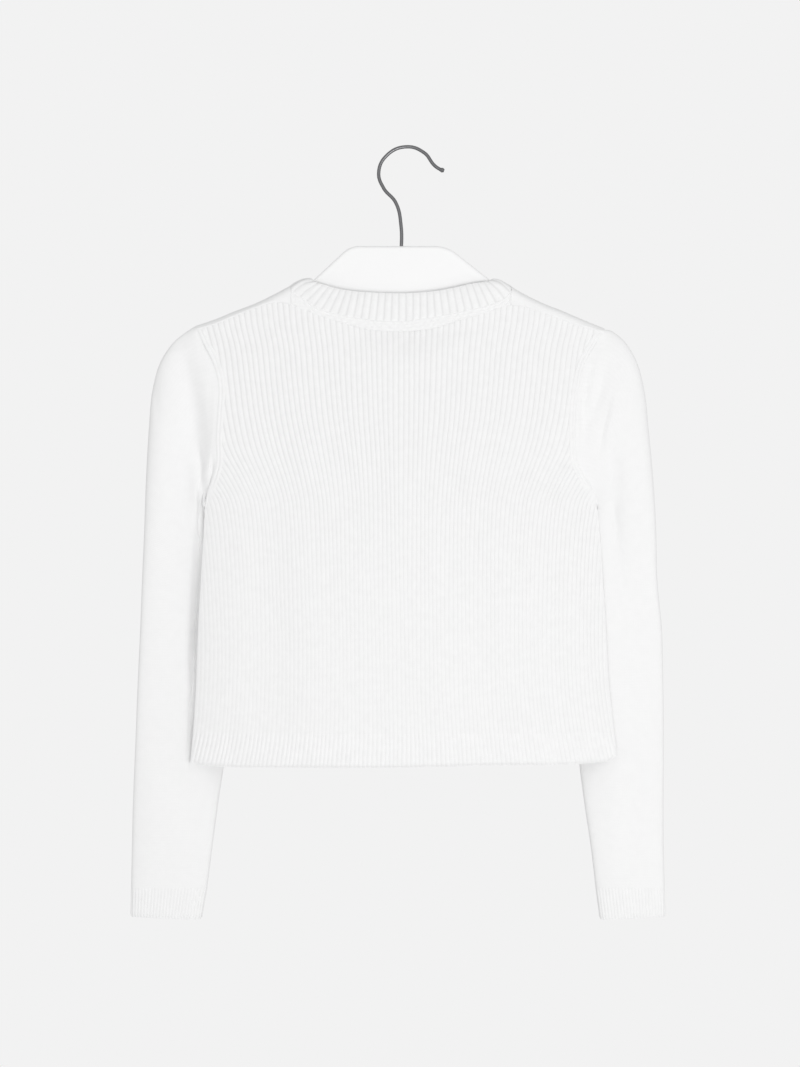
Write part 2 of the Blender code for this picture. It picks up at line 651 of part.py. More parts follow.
def tube_rows(rings, wall, square_top):
    """Knots of a closed tube; square_top cuts its first ring's wall square to X, as the armhole's is."""
    around = len(rings[0])
    middles = [sum(ring, Vector()) / around for ring in rings]
    normals = numeric_normals(rings, True, [[middle] * around for middle in middles])
    if square_top:
        for j in range(around):
            across = rings[0][(j + 1) % around] - rings[0][j - 1]
            square = Vector((0.0, across.z, -across.y)).normalized()
            normals[0][j] = square if square.dot(rings[0][j] - middles[0]) > 0 else -square
    return [[Knot(p, p - wall * n) for p, n in zip(*pair)] for pair in zip(rings, normals)]


def moved_in_z(section, shift):
    return section._replace(z_out=section.z_out + shift, z_in=section.z_in + shift)


def make_sleeves(collection):
    *arm, cuff_top, cuff_end = SLEEVE
    for side, hand in (("left", -1), ("right", 1)):
        tube = [armhole_ring(hand)] + [section_ring(hand, s) for s in arm]
        tube.append(section_ring(hand, moved_in_z(cuff_top, HALF_SEAM)))
        knit_wall(f"sleeve_{side}", tube_rows(tube, PLAIN_WALL, True), "plain_knit", collection, closed=True)
        cuff = [section_ring(hand, moved_in_z(cuff_top, -HALF_SEAM)), section_ring(hand, cuff_end)]
        knit_wall(f"cuff_{side}", tube_rows(cuff, TRIM_WALL, False), "rib_knit", collection, closed=True)


# ------------------------------------------------------------------ hanger

def hanger_outline():
    """The board's outline from the flat top's left end round: down the right side and back on the foot."""
    flat_left, flat_right = BOARD_FLAT
    under = TRIM_WALL + SEAT
    points = [(flat_left, BOARD_TOP), (flat_right, BOARD_TOP)]
    shoulder = (103.0, NECK_CORNER) + SHOULDER_COLUMNS[::-1]
    points += [(x, ridge(x) - under) for x in (BOARD_NECK[1],) + shoulder]
    points += [(BOARD_TIP[1], ridge(BOARD_TIP[1]) - under), (BOARD_TIP[1], ridge(BOARD_TIP[1]) - TIP_HEIGHT)]
    points += [(row.x, row.z) for row in reversed(BOARD_FOOT)]
    points += [(BOARD_TIP[0], ridge(BOARD_TIP[0]) - TIP_HEIGHT), (BOARD_TIP[0], ridge(BOARD_TIP[0]) - under)]
    points += [(-x, ridge(-x) - under) for x in shoulder[::-1] + (-BOARD_NECK[0],)]
    return points


def make_hanger(collection, cutters):
    bm = bmesh.new()
    outline = [bm.verts.new(Vector((x, -HANGER_THICK / 2, z)) * MM) for x, z in hanger_outline()]
    face = bm.faces.new(outline)
    corners = [v for v in outline if v.co.z > (BOARD_TOP - 0.1) * MM or abs(v.co.x) > 198.9 * MM]
    bmesh.ops.bevel(bm, geom=corners, offset=BOARD_CORNER * MM, segments=3, profile=0.5,
                    affect="VERTICES", material=-1)
    face = bm.faces[:][0]
    moved = bmesh.ops.extrude_face_region(bm, geom=[face])["geom"]
    moved = [part for part in moved if isinstance(part, bmesh.types.BMVert)]
    bmesh.ops.translate(bm, vec=(0, HANGER_THICK * MM, 0), verts=moved)
    bmesh.ops.recalc_face_normals(bm, faces=bm.faces)
    mesh = bpy.data.meshes.new("hanger")
    bm.to_mesh(mesh)
    bm.free()
    board = add_object("hanger", mesh, "hanger_plastic", collection)
    rounding = board.modifiers.new("rounded_edges", "BEVEL")
    rounding.width = 0.45 * HANGER_THICK * MM
    rounding.use_clamp_overlap = False
    rounding.segments = 3
    rounding.limit_method = "ANGLE"
    rounding.angle_limit = math.radians(60)
    bpy.ops.mesh.primitive_cylinder_add(vertices=12, radius=HOOK_BORE / 2 * MM, depth=2 * HOOK_SOCKET * MM,
                                        location=(0, 0, BOARD_TOP * MM))
    cutter = bpy.context.object
    cutter.name = "hook_bore"
    cutter.hide_render = True
    cutter.display_type = "WIRE"
    for owner in list(cutter.users_collection):
        owner.objects.unlink(cutter)
    cutters.objects.link(cutter)
    bore = board.modifiers.new("hook_bore", "BOOLEAN")
    bore.operation = "DIFFERENCE"
    bore.solver = "MANIFOLD"
    bore.object = cutter


def make_hook(collection):
    curve = bpy.data.curves.new("hanger_hook", "CURVE")
    curve.dimensions = "3D"
    curve.bevel_depth = HOOK_WIRE / 2 * MM
    curve.bevel_resolution = 2
    curve.resolution_u = 5
    curve.use_fill_caps = True
    spline = curve.splines.new("BEZIER")
    spline.bezier_points.add(len(HOOK) - 1)
    for knot, row in zip(spline.bezier_points, HOOK):
        knot.co = Vector((row.x, 0, row.z)) * MM
        knot.radius = row.thick
        knot.handle_left_type = "AUTO"
        knot.handle_right_type = "AUTO"
    hook = bpy.data.objects.new("hanger_hook", curve)
    curve.materials.append(finish_material("hook_steel"))
    collection.objects.link(hook)


def main():
    for old in list(bpy.data.objects):
        bpy.data.objects.remove(old)
    garment = bpy.data.collections.new("cardigan_on_hanger")
    cutters = bpy.data.collections.new("cutters")
    bpy.context.scene.collection.children.link(garment)
    bpy.context.scene.collection.children.link(cutters)
    make_back(garment)
    make_fronts(garment)
    make_hems(garment)
    make_neckband(garment)
    make_neck_strip(garment)
    make_bands(garment)
    make_buttons(garment)
    make_sleeves(garment)
    make_hanger(garment, cutters)
    make_hook(garment)


main()
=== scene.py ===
# %% [markdown]
# # A cropped rib-knit cardigan on a board hanger
#
# The garment hangs closed on a flat white hanger and shows its back. It is nearly the same white as
# the paper behind it, so its looks come from very small things: the ribs, the edge wales round the
# armholes, a few soft folds, and the shade where one layer lies behind another.
#
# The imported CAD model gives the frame. Every piece here is laid over the CAD piece that it replaces,
# in the same place, so all the numbers below are millimetres in the CAD frame: the origin is the
# point where the hook hangs, the back of the garment faces -Y, and +X is the wearer's right.

# %% Load the frame
import math

import bmesh
import bpy
import numpy as np
from mathutils import Matrix, Vector


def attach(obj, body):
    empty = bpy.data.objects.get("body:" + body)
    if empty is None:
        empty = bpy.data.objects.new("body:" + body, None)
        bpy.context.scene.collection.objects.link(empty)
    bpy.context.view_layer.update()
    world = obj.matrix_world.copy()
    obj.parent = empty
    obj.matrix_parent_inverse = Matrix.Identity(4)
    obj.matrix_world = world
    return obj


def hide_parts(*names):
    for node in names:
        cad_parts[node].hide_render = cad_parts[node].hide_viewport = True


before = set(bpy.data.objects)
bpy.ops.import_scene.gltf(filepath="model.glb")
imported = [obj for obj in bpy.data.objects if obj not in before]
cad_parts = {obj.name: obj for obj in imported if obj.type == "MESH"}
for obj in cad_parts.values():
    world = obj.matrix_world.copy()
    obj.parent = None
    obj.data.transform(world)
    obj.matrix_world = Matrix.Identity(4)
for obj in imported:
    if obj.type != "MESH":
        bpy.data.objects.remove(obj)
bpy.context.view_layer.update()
MM = 0.001
print("CAD pieces:", len(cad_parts))

# %% [markdown]
# ## The garment's form
#
# Knitted cloth on a hanger is a soft, shallow tube. A cloth simulation would find its own shape and
# lose the measured one, so the form is drawn: smooth curves through a few measured heights give the
# outline, and a lens-shaped section gives the depth. The cloth is laid out on a chart of two numbers,
# x across and q down from the top of the shoulder, q below 0 on the back and above 0 on the front.

# %% Smooth curves through a table's points
def smooth_line(points):
    xs, ys = (np.array(part, dtype=float) for part in zip(*sorted(points)))
    slopes = np.gradient(ys, xs)

    def at(x):
        x = np.clip(x, xs[0], xs[-1])
        i = np.clip(np.searchsorted(xs, x, side="right") - 1, 0, len(xs) - 2)
        span = xs[i + 1] - xs[i]
        t = (x - xs[i]) / span
        start = (1 + 2 * t) * (1 - t) ** 2 * ys[i] + t * (1 - t) ** 2 * span * slopes[i]
        end = t * t * (3 - 2 * t) * ys[i + 1] - t * t * (1 - t) * span * slopes[i + 1]
        return start + end

    return at


def lerp(a, b, t):
    return a + (b - a) * t


def smooth_step(low, high, value):
    t = np.clip((value - low) / (high - low), 0.0, 1.0)
    return t * t * (3 - 2 * t)


# %% Sizes of the cloth and the seams
RIB_WALL, PLAIN_WALL, TRIM_WALL = 2.0, 1.6, 2.2
SEAM = 0.4
HALF_SEAM = SEAM / 2
SHOULDER_BEND = 7.5
QUARTER_BEND = SHOULDER_BEND * math.pi / 2
ARMPIT, HEM_SEAM = -355.0, -583.6
NECK_CORNER = 111.0
WRAP_EDGE, CORNER_Z = 110.2, -152.0                # a front's corner beside the neck strip: x and z
BAND_WIDTH = 25.0
BAND_TOP = -214.0
BAND_EDGE = BAND_WIDTH / 2 + SEAM                  # the front panels' edges beside the button bands
BAND_REACH = BAND_EDGE - 0.05                      # the bands' own, just short of them

# %% Outline: the shoulders, the back's top edge and the hem's lower edge, as (x, z)
ridge = smooth_line([
    (-206, -176.8), (-185, -169.6), (-166, -161.8), (-147, -154.6), (-130, -146.6), (-113, -137.4),
    (-103, -131.6), (-95, -129.0), (-88, -129.0), (0, -129.0), (88, -129.0), (98, -130.2),
    (106, -134.4), (123, -144.6), (141, -153.4), (160, -161.0), (183, -170.8), (206, -180.2),
])
back_top = smooth_line([
    (-206, -181.6), (-185, -175.4), (-166, -167.6), (-147, -160.0), (-130, -154.6), (-118, -154.0),
    (-109, -156.8), (-82, -166.6), (-55, -175.2), (-30, -180.6), (0, -182.0), (30, -179.4),
    (55, -172.4), (82, -165.0), (109, -156.6), (118, -157.2), (152, -167.6), (171, -174.8),
    (190, -180.4), (206, -184.6),
])
hem_edge = smooth_line([
    (-212, -613.6), (-196, -615.8), (-177, -617.0), (-113, -617.6), (19, -617.0), (83, -615.3),
    (179, -614.0), (196, -612.8), (209, -611.0), (217, -606.0),
])

# %% Sides and depth, as (z, left side, right side, depth of the back, of the front, at the edge)
LEVELS = [
    (-176.0, -205.8, 205.8, 11.5, 11.5, 7.5), (-195.6, -197.0, 194.0, 12.5, 12.5, 8.6),
    (-214.6, -187.4, 183.0, 13.4, 13.6, 11.0), (-233.6, -182.8, 178.2, 14.4, 14.8, 13.0),
    (-262.0, -183.2, 174.4, 16.0, 16.4, 14.0), (-290.6, -185.0, 174.4, 17.4, 17.8, 13.0),
    (-314.0, -184.8, 176.6, 18.6, 19.0, 10.4), (-334.0, -190.6, 187.4, 19.4, 19.8, 6.6),
    (-346.0, -194.4, 193.4, 19.8, 20.2, 3.4), (-355.0, -196.0, 195.8, 20.2, 20.6, 0.0),
    (-378.0, -197.0, 198.2, 20.8, 21.2, 0.0), (-427.0, -200.0, 201.8, 21.6, 22.0, 0.0),
    (-483.0, -203.0, 205.2, 22.0, 22.4, 0.0), (-539.0, -205.2, 208.4, 21.8, 22.2, 0.0),
    (-584.0, -208.0, 213.4, 21.2, 21.6, 0.0), (-618.0, -211.2, 216.6, 20.6, 21.0, 0.0),
]
side_left, side_right, depth_back, depth_front, depth_edge = (
    smooth_line([(level[0], level[k]) for level in LEVELS]) for k in range(1, 6))


# %% From the chart to a place on the cloth
def half_depth(x, z, side):
    """How far the cloth's outer face stands from the middle plane."""
    left, right = side_left(z), side_right(z)
    across = (x - (left + right) / 2) / ((right - left) / 2)
    lens = np.maximum(0.0, 1 - across * across) ** 0.65
    middle = np.where(side < 0, depth_back(z), depth_front(z))
    edge = depth_edge(z)
    drop = np.clip((ridge(x) - z) / SHOULDER_BEND, 0.0, 1.0)
    return np.sqrt(1 - (1 - drop) ** 2) * (edge + (middle - edge) * lens)


def height_of(x, q):
    bent = SHOULDER_BEND * (1 - np.cos(np.minimum(np.abs(q), QUARTER_BEND) / SHOULDER_BEND))
    return ridge(x) - bent - np.maximum(np.abs(q) - QUARTER_BEND, 0.0)


def chart_q(x, z, side):
    drop = np.maximum(ridge(x) - z, 0.0)
    bent = SHOULDER_BEND * np.arccos(1 - np.minimum(drop / SHOULDER_BEND, 1.0))
    return side * (bent + np.maximum(drop - SHOULDER_BEND, 0.0))


def on_cloth(x, q):
    """The place of each chart point, as an array whose last axis is x, y, z."""
    z = height_of(x, q)
    side = np.where(q < 0, -1, 1)
    least = np.where(z <= ARMPIT + 0.01, HALF_SEAM, 0.0)
    return np.stack([x, side * np.maximum(half_depth(x, z, side), least), z], axis=-1)


def outward(points):
    """The direction that the cloth's outer face looks in, from the slope of its depth squared."""
    x, y, z = np.moveaxis(points, -1, 0)
    side = np.where(y < 0, -1, 1)
    step = 0.25

    def squared(px, pz):
        return half_depth(px, pz, side) ** 2

    slope_x = (squared(x + step, z) - squared(x - step, z)) / (2 * step)
    slope_z = (squared(x, z + step) - squared(x, z - step)) / (2 * step)
    facing = np.stack([-slope_x / 2, y, -slope_z / 2], axis=-1)
    flat_edge = (z <= ARMPIT + 0.01) & (np.abs(y) < HALF_SEAM + 0.01)
    facing[flat_edge] = np.stack([np.sign(x), 0 * x, 0 * x], axis=-1)[flat_edge]
    return facing / np.linalg.norm(facing, axis=-1, keepdims=True)


# %% [markdown]
# ## From a grid of points to a knitted piece
#
# Each piece of cloth is one flat grid, bent into place, whose columns follow the ribs. That keeps a
# rib smooth with only a few points across it. The grid comes from create_grid, its points are moved,
# points that fall together at an edge are merged, and solidify gives the wall its thickness inwards.
# The UV map stores what a material needs: which rib a point is on, and how far down it lies in mm.

# %% Build a piece of cloth from a grid of points
def finish_piece(mesh, name, material, nodes):
    mesh.materials.append(material)
    piece = bpy.data.objects.new(name, mesh)
    bpy.context.scene.collection.objects.link(piece)
    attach(piece, "root")
    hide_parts(*nodes)
    return piece


def turn_outwards(bm, facing):
    """Merge the points that fall together and turn the faces to look along facing(face)."""
    bmesh.ops.remove_doubles(bm, verts=bm.verts, dist=0.02 * MM)
    bmesh.ops.dissolve_degenerate(bm, dist=0.01 * MM, edges=bm.edges)
    bmesh.ops.recalc_face_normals(bm, faces=bm.faces)
    if sum(face.normal.dot(facing(face)) for face in list(bm.faces)[::97]) < 0:
        bmesh.ops.reverse_faces(bm, faces=bm.faces)


def walled(mesh, wall):
    """The mesh with its wall, from a Solidify modifier that is applied."""
    sheet = bpy.data.objects.new("sheet", mesh)
    bpy.context.scene.collection.objects.link(sheet)
    thicken = sheet.modifiers.new("wall", "SOLIDIFY")
    thicken.thickness, thicken.offset = wall * MM, -1.0
    bpy.context.view_layer.update()
    made = bpy.data.meshes.new_from_object(sheet.evaluated_get(bpy.context.evaluated_depsgraph_get()))
    bpy.data.objects.remove(sheet)
    bpy.data.meshes.remove(mesh)
    return made


def cloth_piece(name, points, uv, wall, material, nodes, normals, middle_side=0, grooves=1.0):
    """A wall of cloth from rows x columns of points in mm, whose outer face looks along normals.

    middle_side is -1 or 1 where the wall's inner face must stay on that side of the middle plane.
    grooves says, for each point, how strongly the material shades the grooves between the ribs.
    """
    rows, columns = points.shape[:2]
    bm = bmesh.new()
    bmesh.ops.create_grid(bm, x_segments=columns - 1, y_segments=rows - 1, size=0.5)
    mesh = bpy.data.meshes.new(name)
    bm.to_mesh(mesh)
    bm.free()
    flat = np.empty(3 * len(mesh.vertices))
    mesh.vertices.foreach_get("co", flat)
    flat = flat.reshape(-1, 3)
    column = np.rint((flat[:, 0] + 0.5) * (columns - 1)).astype(int)
    row = np.rint((0.5 - flat[:, 1]) * (rows - 1)).astype(int)
    mesh.vertices.foreach_set("co", (points[row, column] * MM).ravel())
    corner = np.empty(len(mesh.loops), dtype=int)
    mesh.loops.foreach_get("vertex_index", corner)
    layer = mesh.uv_layers.new(name="knit")
    layer.data.foreach_set("uv", uv[row[corner], column[corner]].astype(float).ravel())
    shade = mesh.attributes.new("grooves", "FLOAT", "POINT")
    shade.data.foreach_set("value", np.broadcast_to(grooves, (rows, columns))[row, column].astype(float))

    bm = bmesh.new()
    bm.from_mesh(mesh)
    way = bm.verts.layers.float_vector.new("way")
    for vert, direction in zip(bm.verts, normals[row, column].tolist()):
        vert[way] = direction
    turn_outwards(bm, lambda face: face.verts[0][way])
    bm.verts.layers.float_vector.remove(bm.verts.layers.float_vector["way"])
    bm.to_mesh(mesh)
    bm.free()
    mesh = walled(mesh, wall)
    mesh.name = name
    if middle_side:
        places = np.empty(3 * len(mesh.vertices))
        mesh.vertices.foreach_get("co", places)
        x, y, z = places.reshape(-1, 3).T / MM
        low_down = z < ridge(x) - 3 * SHOULDER_BEND
        kept = middle_side * np.maximum(middle_side * y, HALF_SEAM)
        mesh.vertices.foreach_set("co", np.stack([x, np.where(low_down, kept, y), z], axis=1).ravel() * MM)
    mesh.shade_smooth()
    mesh.set_sharp_from_angle(angle=math.radians(65))
    piece = finish_piece(mesh, name, material, nodes)
    print(f"{name}: {rows} x {columns} points, {sum(len(p.vertices) - 2 for p in mesh.polygons)} triangles")
    return piece


# %% Flat area of a cut, from its grid before ribs and thickness
def grid_area(points):
    """Area of a grid of points in square metres."""
    a, b = points[1:, 1:] - points[:-1, :-1], points[1:, :-1] - points[:-1, 1:]
    return float(np.linalg.norm(np.cross(a, b), axis=-1).sum() / 2) * 1e-6


# %% [markdown]
# ## Materials
#
# A white garment on white paper has no colour to hide behind: the knit is a matt neutral white, and
# what makes it knit is the shade painted into the grooves between the ribs, the tiny stitches and a
# faint unevenness of the yarn. Colours are hex values, turned to linear light by one function, and
# one more adds a node with its settings and links.

# %% Colours and nodes
def colour(hex_value):
    channels = [int(hex_value[k:k + 2], 16) / 255 for k in (1, 3, 5)]
    return (*(c / 12.92 if c <= 0.04045 else ((c + 0.055) / 1.055) ** 2.4 for c in channels), 1.0)


def add_node(tree, kind, inputs=(), **settings):
    """Add a node: settings are its properties, inputs its sockets with a value or another's output."""
    node = tree.nodes.new(kind)
    for name, value in settings.items():
        setattr(node, name, value)
    for socket, value in dict(inputs).items():
        if isinstance(value, bpy.types.NodeSocket):
            tree.links.new(value, node.inputs[socket])
        else:
            node.inputs[socket].default_value = value
    return node


def new_material(name, base, **shader_values):
    material = bpy.data.materials.new(name)
    material.use_nodes = True
    shader = material.node_tree.nodes["Principled BSDF"]
    shader.inputs["Base Color"].default_value = colour(base)
    material.diffuse_color = colour(base)
    for socket, value in shader_values.items():
        shader.inputs[socket.replace("_", " ")].default_value = value
    return material, material.node_tree, shader


# %% [markdown]
# ### Knitted cotton
#
# The cardigan is a fine cotton-blend knit. Its yarn is matt and a little fluffy, which gives a soft
# sheen at the edges. The courses of a real one are about 0.9 mm apart, too fine to show here, so they
# are drawn about 1.7 mm apart. The UV map's first number counts the ribs, so the painted shade in the
# grooves follows them wherever they bend; the second colour of each knit is that painted shade.

# %% Knit materials
def knit(name, yarn, shaded, groove_shade, courses, stitch_height):
    material, tree, shader = new_material(name, yarn, Roughness=0.9, Sheen_Weight=0.12,
                                          Sheen_Roughness=0.6)
    place = add_node(tree, "ShaderNodeUVMap", uv_map="knit").outputs["UV"]
    parts = add_node(tree, "ShaderNodeSeparateXYZ", {"Vector": place})
    across, down = parts.outputs["X"], parts.outputs["Y"]
    turn = add_node(tree, "ShaderNodeMath", {0: across, 1: math.pi}, operation="MULTIPLY")
    wave = add_node(tree, "ShaderNodeMath", {0: turn.outputs[0]}, operation="COSINE")
    crest = add_node(tree, "ShaderNodeMath", {0: wave.outputs[0]}, operation="ABSOLUTE")
    groove = add_node(tree, "ShaderNodeMapRange",
                      {"Value": crest.outputs[0], "From Min": 0.62, "From Max": 0.0,
                       "To Min": 0.0, "To Max": groove_shade})
    share = add_node(tree, "ShaderNodeAttribute", attribute_name="grooves").outputs["Fac"]
    deep = add_node(tree, "ShaderNodeMath", {0: groove.outputs[0], 1: share}, operation="MULTIPLY")
    coords = add_node(tree, "ShaderNodeTexCoord").outputs["Object"]
    mottle = add_node(tree, "ShaderNodeTexNoise", {"Vector": coords, "Scale": 130.0, "Detail": 3.0})
    patches = add_node(tree, "ShaderNodeMapRange",
                       {"Value": mottle.outputs["Fac"], "From Min": 0.35, "From Max": 0.65,
                        "To Min": 0.0, "To Max": 0.05})
    # Painted shade: the grooves are mixed towards the darker colour, as strongly as the grooves attribute
    # asks; a faint random mottle of the yarn is added on top.
    shade = add_node(tree, "ShaderNodeMath", {0: deep.outputs[0], 1: patches.outputs[0]},
                     operation="ADD", use_clamp=True)
    mix = add_node(tree, "ShaderNodeMix", {"Factor": shade.outputs[0], "A": colour(yarn),
                                           "B": colour(shaded)}, data_type="RGBA")
    tree.links.new(mix.outputs["Result"], shader.inputs["Base Color"])
    lean = add_node(tree, "ShaderNodeMath", {0: crest.outputs[0], 1: 0.9}, operation="MULTIPLY")
    count = add_node(tree, "ShaderNodeMath", {0: down, 1: 2 * math.pi / courses}, operation="MULTIPLY")
    slant = add_node(tree, "ShaderNodeMath", {0: count.outputs[0], 1: lean.outputs[0]}, operation="ADD")
    uneven = add_node(tree, "ShaderNodeMath", {0: mottle.outputs["Fac"], 1: 9.0, 2: slant.outputs[0]},
                      operation="MULTIPLY_ADD")
    stitches = add_node(tree, "ShaderNodeMath", {0: uneven.outputs[0]}, operation="SINE")
    fibres = add_node(tree, "ShaderNodeTexNoise", {"Vector": coords, "Scale": 700.0, "Detail": 2.0})
    fluff = add_node(tree, "ShaderNodeMath", {0: fibres.outputs["Fac"], 1: 1.4}, operation="MULTIPLY")
    height = add_node(tree, "ShaderNodeMath", {0: stitches.outputs[0], 1: fluff.outputs[0]},
                      operation="ADD")
    bump = add_node(tree, "ShaderNodeBump", {"Height": height.outputs[0], "Strength": 1.0,
                                             "Distance": stitch_height * MM})
    tree.links.new(bump.outputs["Normal"], shader.inputs["Normal"])
    return material


rib_cotton = knit("rib_knit_cotton", "#F8F8F8", "#C4C4C4", 0.14, 1.7, 0.025)
plain_cotton = knit("plain_knit_cotton", "#F8F8F8", "#DEDEDE", 0.05, 1.5, 0.015)
trim_cotton = knit("hem_rib_cotton", "#F9F9F9", "#C4C4C4", 0.08, 1.8, 0.03)
neck_cotton = knit("coarse_rib_cotton", "#F8F8F8", "#B8B8B8", 0.22, 1.8, 0.03)

# %% [markdown]
# ### Hanger, hook and buttons
#
# The board is injection-moulded polystyrene: smooth, bright white and half matt, with the faint
# unevenness of a large flat moulding. The hook is drawn steel wire with fine lines along it. The
# buttons are cast polyester resin, milky and polished.

# %% Moulded polystyrene
moulded_white, tree, shader = new_material("moulded_polystyrene", "#FBFBFB", Roughness=0.38, IOR=1.59)
coords = add_node(tree, "ShaderNodeTexCoord").outputs["Object"]
ripple = add_node(tree, "ShaderNodeTexNoise", {"Vector": coords, "Scale": 40.0, "Detail": 1.0})
bump = add_node(tree, "ShaderNodeBump", {"Height": ripple.outputs["Fac"], "Strength": 0.3,
                                         "Distance": 0.3 * MM})
tree.links.new(bump.outputs["Normal"], shader.inputs["Normal"])

# %% Drawn steel wire
drawn_steel, tree, shader = new_material("drawn_steel_wire", "#7C7C7E", Roughness=0.3, Metallic=1.0)
coords = add_node(tree, "ShaderNodeTexCoord").outputs["Object"]
grain = add_node(tree, "ShaderNodeTexNoise", {"Vector": coords, "Scale": 900.0, "Detail": 2.0})
worn = add_node(tree, "ShaderNodeMapRange", {"Value": grain.outputs["Fac"], "To Min": 0.22, "To Max": 0.42})
tree.links.new(worn.outputs[0], shader.inputs["Roughness"])

# %% Cast resin
cast_resin, tree, shader = new_material("cast_polyester_resin", "#ECE9E2", Roughness=0.22, IOR=1.55,
                                        Subsurface_Weight=0.1, Subsurface_Scale=0.002)
coords = add_node(tree, "ShaderNodeTexCoord").outputs["Object"]
clouds = add_node(tree, "ShaderNodeTexNoise", {"Vector": coords, "Scale": 160.0, "Detail": 2.0})
mix = add_node(tree, "ShaderNodeMix", {"Factor": clouds.outputs["Fac"], "A": colour("#F1EEE8"),
                                       "B": colour("#DFDBD2")}, data_type="RGBA")
tree.links.new(mix.outputs["Result"], shader.inputs["Base Color"])

# %% [markdown]
# ## Where the ribs run
#
# A rib knit narrows where it is drawn together. On the back about 72 ribs start at the shoulders and
# the neck, 5.6 mm apart; below the armholes about 98 of them cross the body, 4.1 mm apart. So the ribs
# lean inwards going down, most of all beside the armholes, where new ones start at the edge and run
# in at 35 degrees. Rib number w lies at x = pitch * w + spread * w cubed, and both change with height.

# %% Pitch and spread of the ribs by height
rib_pitch = smooth_line([
    (-150, 5.75), (-176, 5.62), (-196, 5.45), (-235, 5.25), (-270, 5.0), (-300, 4.65), (-330, 4.38),
    (-350, 4.25), (-370, 4.19), (-400, 4.14), (-450, 4.10), (-500, 4.08), (-550, 4.12), (-584, 4.20),
    (-618, 4.36),
])
rib_spread = smooth_line([
    (-176, 0.0), (-196, 0.1), (-235, 0.4), (-270, 1.4), (-300, 2.7), (-330, 1.3), (-350, 0.35),
    (-370, 0.1), (-400, 0.0), (-620, 0.0),
])
MOST_RIBS = 52


def rib_x(rib, z):
    wander = 0.35 * np.sin(rib * 0.83 + z * 0.021) + 0.25 * np.sin(rib * 0.31 - z * 0.013 + 1.7)
    lean = (side_left(z) + side_right(z)) / 2 * smooth_step(-380, -520, z)
    return rib_pitch(z) * rib + rib_spread(z) * 1e-4 * rib ** 3 + wander + lean


def rib_relief(rib):
    """Height of a rib's round back over the groove beside it, from 0 to 1."""
    return np.abs(np.cos(math.pi * rib)) ** 0.85


# %% [markdown]
# ## Soft folds
#
# Each fold is a line of points with a height (below 0 for a trough) and a width. It fades at both
# ends, and adds to the cloth along the direction that it faces.

# %% Height of the folds at each point
def fold_height(x, z, folds):
    total = np.zeros(np.broadcast(x, z).shape)
    for height, width, line in folds:
        line = np.array(line, dtype=float)
        lengths = np.linalg.norm(np.diff(line, axis=0), axis=1)
        marks = np.concatenate([[0.0], np.cumsum(lengths)])
        nearest = np.full(total.shape, 1e9)
        along = np.zeros(total.shape)
        for (x0, z0), (x1, z1), length, mark in zip(line, line[1:], lengths, marks):
            t = np.clip(((x - x0) * (x1 - x0) + (z - z0) * (z1 - z0)) / length ** 2, 0, 1)
            gap = np.hypot(x - lerp(x0, x1, t), z - lerp(z0, z1, t))
            closer = gap < nearest
            nearest = np.where(closer, gap, nearest)
            along = np.where(closer, (mark + t * length) / marks[-1], along)
        fade = np.sin(math.pi * np.clip(along, 0.02, 0.98)) ** 0.6
        total += height * fade * np.exp(-(nearest / width) ** 2)
    return total


# %% [markdown]
# ## Body panels
#
# The back is one panel from the shoulder seams to the hem; each front starts on the back, at the same
# seam, folds over the hanger and falls to its hem. The grid's columns are ribs. Where a rib would run
# past the armhole or the front band its points stop on that edge and merge there.

# %% Folds of the body, as (height, width, line of x, z)
BACK_FOLDS = [
    (-4.2, 15.0, [(-56, -172), (4, -180), (70, -174)]),
    (2.2, 15.0, [(-60, -204), (0, -216), (66, -204)]),
    (-0.9, 14.0, [(-148, -226), (-120, -300), (-112, -372)]),
    (0.8, 12.0, [(-128, -214), (-96, -290), (-90, -350)]),
    (-0.9, 14.0, [(138, -222), (122, -296), (118, -366)]),
    (-2.0, 22.0, [(-134, -330), (-130, -420), (-128, -500), (-134, -596)]),
    (0.6, 14.0, [(-92, -430), (-86, -510), (-92, -590)]),
    (1.1, 17.0, [(24, -500), (40, -548), (52, -596)]),
    (-1.0, 12.0, [(76, -480), (88, -540), (92, -596)]),
    (0.9, 13.0, [(120, -520), (128, -560), (134, -606)]),
    (-3.4, 20.0, [(138, -390), (146, -470), (150, -530), (158, -606)]),
]
FRONT_FOLDS = [
    (-1.2, 14.0, [(-146, -230), (-124, -310), (-116, -380)]),
    (-1.1, 13.0, [(140, -226), (126, -304), (112, -372)]),
    (1.0, 15.0, [(-86, -470), (-92, -540), (-88, -600)]),
    (-0.9, 13.0, [(-54, -440), (-60, -520), (-56, -596)]),
    (1.0, 14.0, [(70, -500), (82, -560), (86, -604)]),
    (-0.8, 12.0, [(150, -450), (156, -520), (160, -590)]),
]


# %% Edges of a panel
def panel_side(hand, z):
    line = side_left(z) if hand < 0 else side_right(z)
    return line - hand * np.where(z > ARMPIT, HALF_SEAM, 0.0)


def edge_slope(line, z):
    """How far an armhole's edge, which line gives by height, leans sideways at z."""
    heights = np.linspace(-356, -170, 94)
    return np.interp(z, heights, np.gradient(line(heights), 2.0))


def armhole_gap(x, z):
    """Distance from the nearer armhole's edge, in mm; far away below the armpit."""
    gap = np.minimum(x - panel_side(-1, z), panel_side(1, z) - x)
    return np.where(z > ARMPIT, gap / np.sqrt(1 + edge_slope(side_left, z) ** 2), 1e3)


def neck_curve(x, reach, fall):
    """The chart's q of the front neckline's edge at x."""
    return QUARTER_BEND + fall * np.sqrt(np.maximum(0.0, 1 - (x / reach) ** 2))


def back_edge(x):
    return chart_q(x, back_top(x), -1)


def front_edge(x):
    over = chart_q(x, back_top(x), -1)
    return np.where(np.abs(x) > WRAP_EDGE - 0.5, over, neck_curve(x, 110.7, 104.4))


